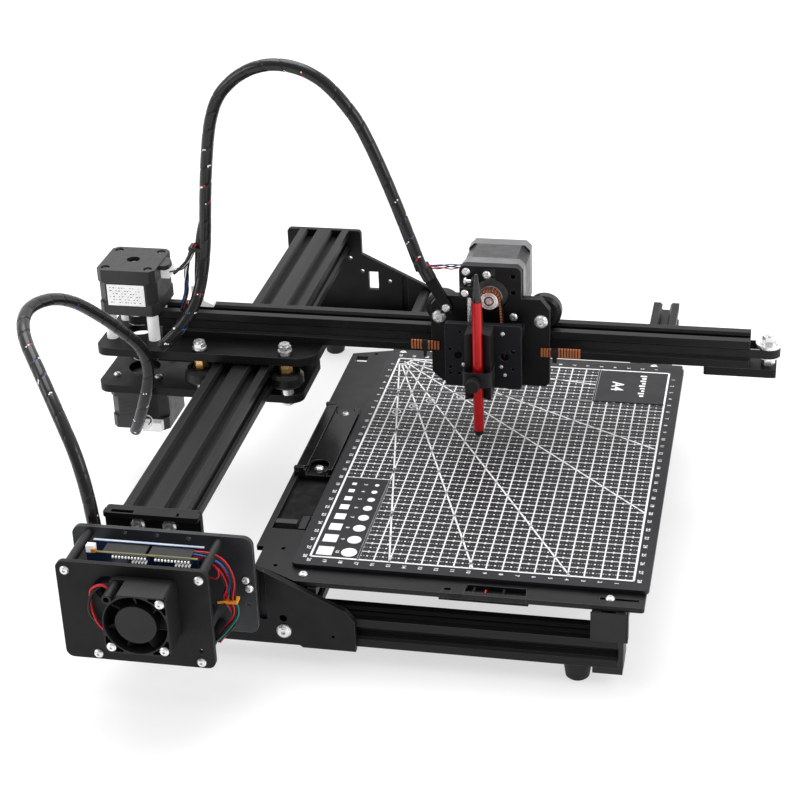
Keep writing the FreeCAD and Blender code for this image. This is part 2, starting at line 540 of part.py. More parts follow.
def stepper(x, y, z, length, axis):
    """Square stepper motor: front face centred on (x, y, z), body running along axis."""
    h = MOTOR_SIDE / 2
    c1, c2 = 3.6, 6.0

    def octagon(c, a, b):
        pts = [V(h, h - c, a), V(h - c, h, a), V(-h + c, h, a), V(-h, h - c, a),
               V(-h, -h + c, a), V(-h + c, -h, a), V(h - c, -h, a), V(h, -h + c, a)]
        return prism(pts, V(0, 0, b - a))
    front = octagon(c1, 0, 9.0)
    core = octagon(c2, 9.0, length - 9.5)
    rear = octagon(c1, length - 9.5, length)
    body = fuse_all([front, core, rear])
    pilot = rod(0, 0, -2.0, 11.0, 2.0)
    body = fuse_all([body, pilot])
    body = body.cut(rod(0, 0, -3.0, BOLT_R + 0.03, 9.0))
    body = body.cut(rod(0, 0, length - 4.0, 4.7, 5.0))
    for sx in (-1, 1):
        for sy in (-1, 1):
            body = body.cut(rod(sx * 15.5, sy * 15.5, length - 1.6, 3.1, 2.0))
    body.Placement = FreeCAD.Placement(V(x, y, z), FreeCAD.Rotation(Z_AXIS, axis))
    return body


x_motor = stepper(MOTOR_X, GANTRY_Y, X_MOTOR_Z0, MOTOR_H, Z_AXIS)
SIDE_X = MOTOR_X + MOTOR_SIDE / 2
shelf = [(-0.5, 54.0), (4.2, 54.0), (6.4, 57.0), (6.4, 63.5), (3.2, 69.5), (-0.5, 69.5)]
x_motor = fuse_all([x_motor, prism_xy([(SIDE_X + x, y) for x, y in shelf], X_MOTOR_Z0 + 30.2, X_MOTOR_Z0 + 33.4)])
y_motor = stepper(MOTOR_X, GANTRY_Y, LOWER_Z0, MOTOR_H, -Z_AXIS)
export("x_motor", x_motor)
export("y_motor", y_motor)

sockets_white = [box(SIDE_X, SIDE_X + 6.0, 56.5, 68.5, X_MOTOR_Z0 + 23.0, X_MOTOR_Z0 + 30.0),
                 box(MOTOR_X + 3.7, MOTOR_X + 17.7, GANTRY_Y - 27, GANTRY_Y - 21.15, Y_MOTOR_Z0 + 1.5, Y_MOTOR_Z0 + 8.5)]

legs = []
for sx in (-1, 1):
    for sy in (-1, 1):
        leg = rod(MOTOR_X + sx * 15.5, GANTRY_Y + sy * 15.5, XBEAM_Z0, 4.1, X_MOTOR_Z0 - XBEAM_Z0)
        legs.append(leg)
export("motor_standoffs", legs)

X_PULLEY_BASE = V(MOTOR_X, GANTRY_Y, XBEAM_MID_Z)
export("x_pulley", pulley(X_PULLEY_BASE, Z_AXIS, PULLEY_R, 0, (-5.5, X_MOTOR_Z0 - XBEAM_MID_Z + 4.5)))
Y_PULLEY_BASE = V(MOTOR_X, GANTRY_Y, BEAM_MID_Z)
export("y_pulley", pulley(Y_PULLEY_BASE, -Z_AXIS, Y_PULLEY_R, 0, (-6.0, BEAM_MID_Z - LOWER_Z0 + 4.5)))


def belt_loop(xa, xb, y, z_mid, r_in, t):
    """Closed belt round two pulleys on the x axis direction, lying in a plane of constant z."""
    outer = r_in + t

    def stadium(r):
        body = box(xa, xb, y - r, y + r, z_mid - BELT_W / 2, z_mid + BELT_W / 2)
        return fuse_all([body, rod(xa, y, z_mid - BELT_W / 2, r, BELT_W), rod(xb, y, z_mid - BELT_W / 2, r, BELT_W)])
    return stadium(outer).cut(stadium(r_in))


x_belt = belt_loop(MOTOR_X, IDLER_X, GANTRY_Y, XBEAM_MID_Z, PULLEY_R + BELT_GAP, BELT_T)

# the y belt leaves its slot round two posts and runs out to the motor pulley and back
run_in = Y_PULLEY_R + BELT_GAP
run_out = run_in + BELT_T
z0, z1 = BEAM_MID_Z - BELT_W / 2, BEAM_MID_Z + BELT_W / 2
loop = box(MOTOR_X, POST_X, GANTRY_Y - run_out, GANTRY_Y + run_out, z0, z1)
loop = loop.fuse(rod(MOTOR_X, GANTRY_Y, z0, run_out, BELT_W))
hollow = box(MOTOR_X, POST_X + 20, GANTRY_Y - run_in, GANTRY_Y + run_in, z0 - 1, z1 + 1)
hollow = hollow.fuse(rod(MOTOR_X, GANTRY_Y, z0 - 1, run_in, BELT_W + 2))
loop = loop.cut(hollow)
bends = []
for s in (-1, 1):
    yc = GANTRY_Y + s * POST_DY
    ring = rod(POST_X, yc, z0, POST_R + BELT_T, BELT_W).cut(rod(POST_X, yc, z0 - 1, POST_R, BELT_W + 2))
    q = box(POST_X, POST_X + 12, min(yc, yc - s * 12), max(yc, yc - s * 12), z0 - 1, z1 + 1)
    bends.append(ring.common(q))
y_loop = fuse_all([loop] + bends)
export("drive_belts", [x_belt] + list(y_loop.Solids))

anchor = prism_xz([(-234.5, 71.0), (-216.0, 71.0), (-216.0, 73.0), (-222.0, 75.5), (-225.0, 86.5), (-231.0, 86.5),
                   (-231.5, 75.5), (-234.5, 73.0)], 62.0, 69.0)
export("white_connectors", sockets_white + [anchor])

# ---------------------------------------------------------------- carriage on the x beam
CAR_Y1 = CAR_Y0 + CAR_T
W_TOP_Z = XBEAM_Z0 + RAIL + WHEEL_OFF
W_BOT_Z = XBEAM_Z0 - WHEEL_OFF
CAR_AXLES = ((CAR_X - 34.8, W_TOP_Z), (CAR_X + 34.8, W_TOP_Z), (CAR_X - 16.5, W_BOT_Z), (CAR_X + 16.5, W_BOT_Z))

PLATE_TOP = 120.0
outline = [(-56.0, 40.0), (-48.5, 33.0), (25.0, 33.0), (25.0, 90.0), (19.0, 97.5), (6.0, 97.5), (6.0, PLATE_TOP),
           (-36.0, PLATE_TOP),
           (-36.0, 97.5), (-50.0, 97.5), (-56.0, 90.0)]
plate = prism_xz(outline, CAR_Y0, CAR_Y1)
plate = round_y(plate, 4.0, lambda a: a.z > 119 or (a.z < 34 and a.x > 20))
car_tools = [rod(Z_MOTOR_X, CAR_Y0 - 1, Z_MOTOR_Z, 11.6, CAR_T + 2, Y_AXIS),
             box(-17.0, -11.6, CAR_Y0 - 1, CAR_Y1 + 1, Z_MOTOR_Z, 118.6),
             rod(0.5, CAR_Y0 - 1, 113.5, 1.7, CAR_T + 2, Y_AXIS),
             rod(0.5, CAR_Y0 - 1, 101.7, 1.7, CAR_T + 2, Y_AXIS)]
for x, z in CAR_AXLES:
    car_tools.append(rod(x, CAR_Y0 - 1, z, BOLT_R + 0.1, CAR_T + 2, Y_AXIS))
plate = cut_all(plate, car_tools)

car_bolts = []
for x, z in CAR_AXLES:
    head = button_head(V(x, CAR_Y0, z), -Y_AXIS, 4.75, 2.8, 1.5)
    shank = rod(x, CAR_Y0 - 0.1, z, BOLT_R, 31.0, Y_AXIS)
    collar = rod(x, CAR_Y1, z, 4.0, GANTRY_Y - WHEEL_W / 2 - 0.2 - CAR_Y1, Y_AXIS)
    nut = hexagon(x, GANTRY_Y + WHEEL_W / 2 + 0.4, z, 8.0, 4.5, Y_AXIS)
    car_bolts.append(fuse_all([head, shank, collar, nut]))
for x, z in ((-31.2, 115.6), (-17.2, 114.0), (0.6, 84.0), (-44.8, 89.6)):
    y0 = CAR_Y0 - (3.2 if x < -40 else 0.0)
    car_bolts.append(button_head(V(x, y0, z), -Y_AXIS, 2.9, 1.7, 0.9))
car_bolts.append(button_head(V(-30.4, 33.0, 104.8), -Y_AXIS, 2.6, 1.6, 0.8))
side_head = button_head(V(-30.0, 37.5, 111.6), -X_AXIS, 2.6, 1.8, 0.9)
car_bolts.append(fuse_all([side_head, rod(-30.0, 37.5, 111.6, 1.25, 6.0, X_AXIS)]))
export("carriage_bolts", car_bolts)

for name, (x, z) in zip(("carriage_wheel_tl", "carriage_wheel_tr", "carriage_wheel_bl", "carriage_wheel_br"), CAR_AXLES):
    export(name, v_wheel(V(x, GANTRY_Y, z), Y_AXIS))

export("z_motor", stepper(Z_MOTOR_X, CAR_Y1, Z_MOTOR_Z, Z_MOTOR_LEN, Y_AXIS))

Z_PULLEY_Y = 38.0
z_pulley = pulley(V(Z_MOTOR_X, Z_PULLEY_Y, Z_MOTOR_Z), Y_AXIS, PULLEY_R, 0, (-3.4, CAR_Y1 - Z_PULLEY_Y + 4.5),
                  False)
export("z_pulley", z_pulley)

Z_LOW_X, Z_LOW = -10.4, 44.0
zr = PULLEY_R + BELT_GAP


def z_stadium(r):
    """Belt outline from the motor pulley to the low pin, which stands a little to the right."""
    drop = V(Z_LOW_X - Z_MOTOR_X, 0, Z_LOW - Z_MOTOR_Z)
    side = V(-drop.z, 0, drop.x).normalize() * r
    high = V(Z_MOTOR_X, Z_PULLEY_Y - 3, Z_MOTOR_Z)
    body = prism([high + side, high + drop + side, high + drop - side, high - side], V(0, 6, 0))
    top = rod(Z_MOTOR_X, Z_PULLEY_Y - 3, Z_MOTOR_Z, r, 6, Y_AXIS)
    end = rod(Z_LOW_X, Z_PULLEY_Y - 3, Z_LOW, r, 6, Y_AXIS)
    return fuse_all([body, top, end])


export("z_belt", z_stadium(zr + BELT_T).cut(z_stadium(zr)))

rods = [rod(ROD_X[0], ROD_Y, 33.4, ROD_R, 75.0), rod(ROD_X[1], ROD_Y, 33.4, ROD_R, 45.5)]
low_pin = rod(Z_LOW_X, Z_PULLEY_Y - 4, Z_LOW, zr - 0.05, CAR_Y0 - Z_PULLEY_Y + 4, Y_AXIS)
ear = box(-26.4, -24.4, 34.5, CAR_Y0, 101.5, 114.0).cut(rod(-30.0, 37.5, 111.6, 1.26, 8.0, X_AXIS))
high_block = fuse_all([box(-34.0, -24.4, 33.0, CAR_Y0, 101.5, 108.6), ear])
blocks = [high_block.cut(rod(ROD_X[0], ROD_Y, 90, ROD_R, 30)),
          box(ROD_X[1] - 4.5, ROD_X[1] + 6.5, 33.0, CAR_Y0, 74.0, 79.4).cut(rod(ROD_X[1], ROD_Y, 70, ROD_R, 30))]
for x in ROD_X:
    blocks.append(box(x - 4, x + 4, 36.0, CAR_Y0, 33.2, 35.2).cut(rod(x, ROD_Y, 30, ROD_R, 20)))
blocks.append(low_pin)
export("guide_rods", rods)
export("carriage_plate", [plate] + blocks)

# folded belt ends held at both edges of the carriage plate
BELT_LEAVES = {"left": ((-58.8, -50.0), (-70.4, -62.2), (-62.2, -58.8), 60.4, 51.4),
               "right": ((19.0, 26.6), (30.8, 46.2), (26.6, 30.8), 59.4, 52.2)}
belt_ends = []
for inner, outer, tie, z_c, tie_low in BELT_LEAVES.values():
    folded = box(inner[0], inner[1], CAR_Y0 - 2.2, CAR_Y0 - 0.2, z_c - 3.2, z_c + 3.2)
    loose = box(outer[0], outer[1], CAR_Y0 - 0.9, CAR_Y0 + 2.0, z_c - 3.4, z_c + 3.4)
    band = box(tie[0], tie[1], CAR_Y0 - 2.2, CAR_Y0 - 0.2, tie_low, z_c + 3.2)
    belt_ends.append(fuse_all([folded, loose, band]))
export("belt_ends", belt_ends)

arm = prism_xz([(-41.2, 86.0), (-41.2, 91.5), (-57.2, 121.8), (-64.6, 118.4), (-48.4, 89.5), (-48.4, 86.0)],
               CAR_Y0 - 3.2, CAR_Y0)
export("cable_arm", arm)

# ---------------------------------------------------------------- tool slide
slide = box(SLIDE_X0, SLIDE_X1, SLIDE_Y0, SLIDE_Y0 + SLIDE_T, SLIDE_Z0, SLIDE_Z1)
slide = round_y(slide, 1.5)
slide_holes = [(-33.1, 79.0, 1.3), (-40.0, 66.0, 1.1), (-34.5, 61.5, 3.0), (-40.0, 52.5, 1.1), (-40.0, 48.0, 1.1),
               (-34.0, 48.0, 1.1), (-31.0, 54.5, 1.2), (-4.3, 79.0, 1.2), (2.5, 66.0, 1.5), (-3.0, 62.0, 3.0),
               (2.5, 53.0, 1.1), (-5.5, 54.5, 1.2), (-3.0, 48.5, 1.0)]
slide = cut_all(slide, [rod(x, SLIDE_Y0 - 1, z, r, SLIDE_T + 2, Y_AXIS) for x, z, r in slide_holes])
bush = []
for x in ROD_X:
    b = box(x - 3.8, x + 3.8, SLIDE_Y0 + SLIDE_T, ROD_Y + 3.0, 44.0, 59.0)
    bush.append(b.cut(rod(x, ROD_Y, 40, ROD_R + 0.05, 40)))
export("slide_plate", fuse_all([slide] + bush))

# V block with the pen lying in its groove, and a strap that holds the pen against it
V_HALF, V_RISE = 8.7, 5.7
apex_y = PEN_Y + (PEN_R + 0.02) * math.hypot(V_HALF, V_RISE) / V_HALF
front_y = apex_y - V_RISE
x_a, x_b = PEN_X - V_HALF, PEN_X + V_HALF
block = prism_xy([(x_a, SLIDE_Y0), (x_a, front_y), (PEN_X, apex_y), (x_b, front_y), (x_b, SLIDE_Y0)], 36.8, 84.6)
STRAP_Y, STRAP_T, STRAP_Z0, STRAP_Z1 = 5.0, 1.2, 48.6, 59.4


def strap_body(grow):
    body = box(x_a - grow, x_b + grow, STRAP_Y + STRAP_T - grow, 22.0, STRAP_Z0, STRAP_Z1)
    return round_z(body, 3.4 + grow, lambda a: a.y < PEN_Y)


strap = strap_body(STRAP_T).cut(strap_body(0.0))
holder = fuse_all([block, strap])
KNOBS = {"knob_front": (V(PEN_X - 1.9, STRAP_Y, 52.6), -Y_AXIS)}
for base, axis in KNOBS.values():
    holder = holder.cut(Part.makeCylinder(1.55, 3.6, base - axis * 3.5, axis))
export("pen_holder", holder)


def knob(base, axis, r, h):
    """Knurled thumb screw standing 0.4 mm off base, with its stem in the holder."""
    body = Part.makeCylinder(r, h, base + axis * 0.4, axis)
    body = body.makeChamfer(0.5, [e for e in body.Edges if abs(e.Length - 2 * math.pi * r) < 0.01])
    u = Z_AXIS
    w = axis.cross(u)
    for k in range(18):
        a = 2 * math.pi * k / 18
        c = base + (u * math.cos(a) + w * math.sin(a)) * (r + 0.15)
        body = body.cut(Part.makeCylinder(0.45, h + 2, c, axis))
    stem = Part.makeCylinder(1.5, 3.1, base - axis * 2.5, axis)
    return fuse_all([body, stem])


for name, (base, axis) in KNOBS.items():
    export(name, knob(base, axis, 4.8, 6.6))

barrel = turned([(0, PEN_BARREL_Z0), (PEN_R, PEN_BARREL_Z0), (PEN_R, PEN_BARREL_Z1), (0, PEN_BARREL_Z1)], V(PEN_X, PEN_Y, 0))
export("stylus_barrel", barrel)
cap = turned([(0, PEN_BARREL_Z1), (3.1, PEN_BARREL_Z1), (2.9, PEN_BARREL_Z1 + 3), (1.2, PEN_TOP_Z - 1), (0.8, PEN_TOP_Z),
              (0, PEN_TOP_Z)], V(PEN_X, PEN_Y, 0))
export("stylus_cap", cap)
tip = turned([(0, PEN_TIP_Z), (1.4, PEN_TIP_Z + 0.35), (2.5, PEN_TIP_Z + 1.4), (3.1, PEN_TIP_Z + 3.0), (3.3, PEN_BARREL_Z0),
              (0, PEN_BARREL_Z0)], V(PEN_X, PEN_Y, 0))
export("stylus_tip", tip)


# ---------------------------------------------------------------- wiring harness
def cord(points, r):
    """Round cord along straight runs joined by tangent arcs."""
    pts = [V(*p) for p in points]
    edges = []
    start = pts[0]
    length = 0.0
    radii = []
    for i in range(1, len(pts) - 1):
        a = pts[i] - pts[i - 1]
        b = pts[i + 1] - pts[i]
        turn = a.getAngle(b)
        reach = 0.45 * min(a.Length, b.Length)
        radius = reach / math.tan(turn / 2)
        radii.append(round(radius, 1))
        da = V(a).normalize()
        db = V(b).normalize()
        p_in = pts[i] - da * reach
        p_out = pts[i] + db * reach
        inward = (db - da).normalize()
        centre = pts[i] + inward * (radius / math.cos(turn / 2))
        mid = centre - inward * radius
        edges.append(Part.makeLine(start, p_in))
        edges.append(Part.Arc(p_in, mid, p_out).toShape())
        start = p_out
    edges.append(Part.makeLine(start, pts[-1]))
    path = Part.Wire(edges)
    length = sum(e.Length for e in edges)
    section = Part.Wire(Part.makeCircle(r, pts[0], pts[1] - pts[0]))
    tube = path.makePipeShell([section], True, False, 2)
    expected = math.pi * r * r * length
    print("cord length %.1f mm, radii %s, volume ratio %.4f" % (length, radii, tube.Volume / expected))
    return tube


CABLE_A = [(-222.0, -179.5, 2.0), (-223.0, -178.5, 60.0), (-256.0, -146.0, 106.0), (-298.0, -90.0, 130.0), (-289.0, -36.0, 122.0),
           (-268.0, 0.0, 85.0), (-250.0, 21.0, 50.0), (-262.0, 22.0, 4.0), (-273.0, 33.0, -16.0)]
CABLE_B = [(-243.5, 23.7, 55.7), (-223.0, 33.0, 74.0), (-217.5, 57.0, 104.0), (-212.0, 57.0, 172.0), (-204.0, 57.0, 221.0),
           (-187.0, 56.0, 242.0), (-164.0, 54.0, 253.0), (-139.0, 52.0, 251.5), (-117.0, 49.0, 239.0), (-91.0, 46.0, 203.0),
           (-59.6, 35.6, 119.5)]
export("cable_a", cord(CABLE_A, CORD_R))
export("cable_b", cord(CABLE_B, CORD_R))

cords = ("cable_a", "cable_b")
body = Part.makeCompound([s for n, s in made.items() if n not in cords])
bb = body.BoundBox
print("bbox x %.3f %.3f y %.3f %.3f z %.3f %.3f" % (bb.XMin, bb.XMax, bb.YMin, bb.YMax, bb.ZMin, bb.ZMax))
print("nodes", len(made))
for n, s in made.items():
    if not s.isValid():
        print("INVALID", n)
    if any(not k.isClosed() for k in s.Shells):
        print("OPEN", n)
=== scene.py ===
import math

import bpy
from mathutils import Euler, Matrix, Vector
from mathutils.kdtree import KDTree


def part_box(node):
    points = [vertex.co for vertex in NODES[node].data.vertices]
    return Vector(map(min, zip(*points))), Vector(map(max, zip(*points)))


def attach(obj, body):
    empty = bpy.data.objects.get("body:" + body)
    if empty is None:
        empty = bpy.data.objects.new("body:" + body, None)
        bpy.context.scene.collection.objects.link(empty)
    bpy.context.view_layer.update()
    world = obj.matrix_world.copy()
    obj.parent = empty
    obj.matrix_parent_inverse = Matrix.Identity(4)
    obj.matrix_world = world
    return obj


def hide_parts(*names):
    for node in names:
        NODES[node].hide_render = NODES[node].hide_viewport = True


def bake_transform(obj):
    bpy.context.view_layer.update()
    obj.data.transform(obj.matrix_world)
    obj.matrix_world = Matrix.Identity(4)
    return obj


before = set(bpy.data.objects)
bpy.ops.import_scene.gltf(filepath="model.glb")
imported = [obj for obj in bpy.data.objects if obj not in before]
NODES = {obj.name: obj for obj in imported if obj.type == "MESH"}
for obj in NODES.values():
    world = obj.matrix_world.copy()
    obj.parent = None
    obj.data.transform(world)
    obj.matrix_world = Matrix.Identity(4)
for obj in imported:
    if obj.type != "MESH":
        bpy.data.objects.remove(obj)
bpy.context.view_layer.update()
MM = 0.001
MAT_LOW, MAT_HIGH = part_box("cutting_mat")
# every place below is written in mm from the centre of the mat's top face: x right, y away, z up
ORIGIN = Vector(((MAT_LOW.x + MAT_HIGH.x) / 2, (MAT_LOW.y + MAT_HIGH.y) / 2, MAT_HIGH.z))
Y, Z = Vector((0, 1, 0)), Vector((0, 0, 1))


def at(x, y, z):
    return ORIGIN + Vector((x, y, z)) * MM


# ---------------------------------------------------------------- materials
PLASTIC_IOR = 1.5
COAT_ROUGHNESS = 0.12
# edge colour mask: partly wear, partly a painted edge highlight
WEAR_AND_HIGHLIGHT_FROM, WEAR_AND_HIGHLIGHT_TO = 0.75, 0.985    # cosines between the true and the rounded normal
ANODISED_EDGE, MOULDED_EDGE = 0.0005, 0.0003
DEEPEN = 0.38                       # anodised tones sit this far below their listed colour
LAMINATION = 0.0011
# glow of the white parts: painted light that lifts their shaded sides to white
PAINTED_GLOW = 0.22


class Paint:
    """A Principled material with helpers for procedural detail in the machine's own coordinates."""

    def __init__(self, name, rough=0.4, metal=0.0, coat=0.0, shine=0.5):
        self.mat = bpy.data.materials.new(name)
        self.mat.use_nodes = True
        self.tree = self.mat.node_tree
        self.out = self.tree.nodes["Principled BSDF"]
        self.out.inputs["Metallic"].default_value = metal
        self.out.inputs["Roughness"].default_value = rough
        self.out.inputs["IOR"].default_value = PLASTIC_IOR
        self.out.inputs["Coat Weight"].default_value = coat
        self.out.inputs["Coat Roughness"].default_value = COAT_ROUGHNESS
        self.out.inputs["Specular IOR Level"].default_value = shine
        self.coords = self.tree.nodes.new("ShaderNodeTexCoord").outputs["Object"]

    def node(self, kind, inputs=(), **values):
        n = self.tree.nodes.new("ShaderNode" + kind)
        for k, v in values.items():
            setattr(n, k, v)
        for k, v in dict(inputs).items():
            if isinstance(v, bpy.types.NodeSocket):
                self.tree.links.new(v, n.inputs[k])
            else:
                n.inputs[k].default_value = v
        return n

    def noise(self, scale, stretch=(1, 1, 1), detail=4, rough=0.6):
        m = self.node("Mapping", {"Vector": self.coords, "Scale": [scale * s for s in stretch]})
        values = {"Vector": m.outputs[0], "Scale": 1.0, "Detail": detail, "Roughness": rough}
        return self.node("TexNoise", values).outputs[0]

    def ramp(self, value, low, high, a=0.35, b=0.65):
        limits = {"Value": value, "From Min": a, "From Max": b, "To Min": low, "To Max": high}
        return self.node("MapRange", limits).outputs[0]

    def colour(self, value, dark, light, a=0.35, b=0.65):
        n = self.node("ValToRGB", {"Fac": value})
        n.color_ramp.elements[0].position, n.color_ramp.elements[1].position = a, b
        n.color_ramp.elements[0].color, n.color_ramp.elements[1].color = (*dark, 1), (*light, 1)
        self.tree.links.new(n.outputs[0], self.out.inputs["Base Color"])
        return n.outputs[0]

    def edge(self, radius, wear_and_highlight, socket_colour):
        """Rounded edges in the shading, and a paler line along them: partly wear, partly a painted edge
        highlight.
        """
        bevel = self.node("Bevel", {"Radius": radius}, samples=4)
        geo = self.node("NewGeometry")
        dot = self.node("VectorMath", operation="DOT_PRODUCT")
        self.tree.links.new(bevel.outputs[0], dot.inputs[0])
        self.tree.links.new(geo.outputs["Normal"], dot.inputs[1])
        mask = self.ramp(dot.outputs["Value"], 1.0, 0.0, WEAR_AND_HIGHLIGHT_FROM, WEAR_AND_HIGHLIGHT_TO)
        mix = self.node("Mix", data_type="RGBA")
        mix.inputs[0].default_value = 0
        self.tree.links.new(mask, mix.inputs[0])
        self.tree.links.new(socket_colour, mix.inputs[6])
        mix.inputs[7].default_value = (*wear_and_highlight, 1)
        self.tree.links.new(mix.outputs[2], self.out.inputs["Base Color"])
        return bevel.outputs[0]

    def bump(self, height, strength, distance=0.0004, normal=None):
        n = self.node("Bump", {"Height": height, "Strength": strength, "Distance": distance})
        if normal is not None:
            self.tree.links.new(normal, n.inputs["Normal"])
        self.tree.links.new(n.outputs[0], self.out.inputs["Normal"])

    def rough(self, value, low, high, a=0.3, b=0.7):
        self.tree.links.new(self.ramp(value, low, high, a, b), self.out.inputs["Roughness"])


def anodised(name, base, stretch=(1, 1, 1), rough=(0.34, 0.48), grain=1600, wear_and_highlight=(0.12, 0.12, 0.125)):
    """Dark anodised aluminium: drawn grain along one axis, cloudy sheen, worn edges with a painted edge
    highlight.
    """
    p = Paint(name, shine=0.22)
    base = [c * DEEPEN for c in base]
    cloud = p.noise(28, stretch, 5)
    col = p.colour(cloud, [c * 0.72 for c in base], [c * 1.35 for c in base])
    normal = p.edge(ANODISED_EDGE, wear_and_highlight, col)
    p.rough(p.noise(90, stretch, 3), *rough)
    p.bump(p.noise(grain, stretch, 2, 0.5), 0.16, 0.00012, normal)
    return p.mat


def moulded(name, base, rough=0.45, grain=900, bump=0.12, coat=0.0, wear_and_highlight=None):
    """Moulded plastic or rubber with a fine spark-eroded grain."""
    p = Paint(name, coat=coat, shine=0.28)
    col = p.colour(p.noise(45), [c * 0.85 for c in base], [min(1, c * 1.15) for c in base])
    # pale edge line: partly wear, partly a painted edge highlight
    normal = p.edge(MOULDED_EDGE, wear_and_highlight or [min(1, c * 1.6 + 0.01) for c in base], col)
    p.rough(p.noise(140), rough * 0.85, min(1, rough * 1.15))
    p.bump(p.noise(grain, detail=3), bump, 0.00015, normal)
    return p.mat


def metal(name, base, rough=(0.16, 0.34)):
    """Bright plated or turned metal with faint tool marks."""
    p = Paint(name, metal=0.72)
    p.colour(p.noise(160, detail=2), [c * 0.95 for c in base], [min(1, c * 1.08) for c in base], 0.3, 0.6)
    p.rough(p.noise(320), *rough)
    p.bump(p.noise(1400, detail=2), 0.02, 0.00003)
    return p.mat


def laminated(name, core, cap, axis, lo, hi, cap_rough=0.42, metallic=0.0):
    """Stepper motor: stacked laminations from lo to hi along its axis, between two cast ends."""
    p = Paint(name, metal=metallic)
    split = p.node("SeparateXYZ", {"Vector": p.coords}).outputs[axis]
    inside = p.node("Math", {0: split, 1: lo}, operation="GREATER_THAN").outputs[0]
    below = p.node("Math", {0: split, 1: hi}, operation="LESS_THAN").outputs[0]
    mask = p.node("Math", {0: inside, 1: below}, operation="MULTIPLY").outputs[0]
    wave = p.node("Math", {0: split, 1: 2 * math.pi / LAMINATION}, operation="MULTIPLY").outputs[0]
    wave = p.node("Math", {0: wave}, operation="SINE").outputs[0]
    lines = p.node("Math", {0: wave, 1: mask}, operation="MULTIPLY").outputs[0]
    cloud = p.noise(60, detail=5)
    shade = p.ramp(cloud, 0.75, 1.2, 0.3, 0.7)
    mix = p.node("Mix", data_type="RGBA")
    p.tree.links.new(mask, mix.inputs[0])
    mix.inputs[6].default_value, mix.inputs[7].default_value = (*cap, 1), (*core, 1)
    tint = p.node("VectorMath", operation="SCALE")
    p.tree.links.new(mix.outputs[2], tint.inputs[0])
    p.tree.links.new(shade, tint.inputs["Scale"])
    # light cap edges: partly wear, partly a painted edge highlight
    normal = p.edge(0.0004, [c * 1.8 + 0.03 for c in cap], tint.outputs[0])
    p.rough(p.noise(200), cap_rough * 0.8, cap_rough * 1.2)
    grain = p.node("Math", {0: p.noise(900, detail=3), 1: 0.35}, operation="MULTIPLY").outputs[0]
    height = p.node("Math", {0: lines, 1: grain}, operation="ADD").outputs[0]
    p.bump(height, 0.35, 0.00018, normal)
    return p.mat


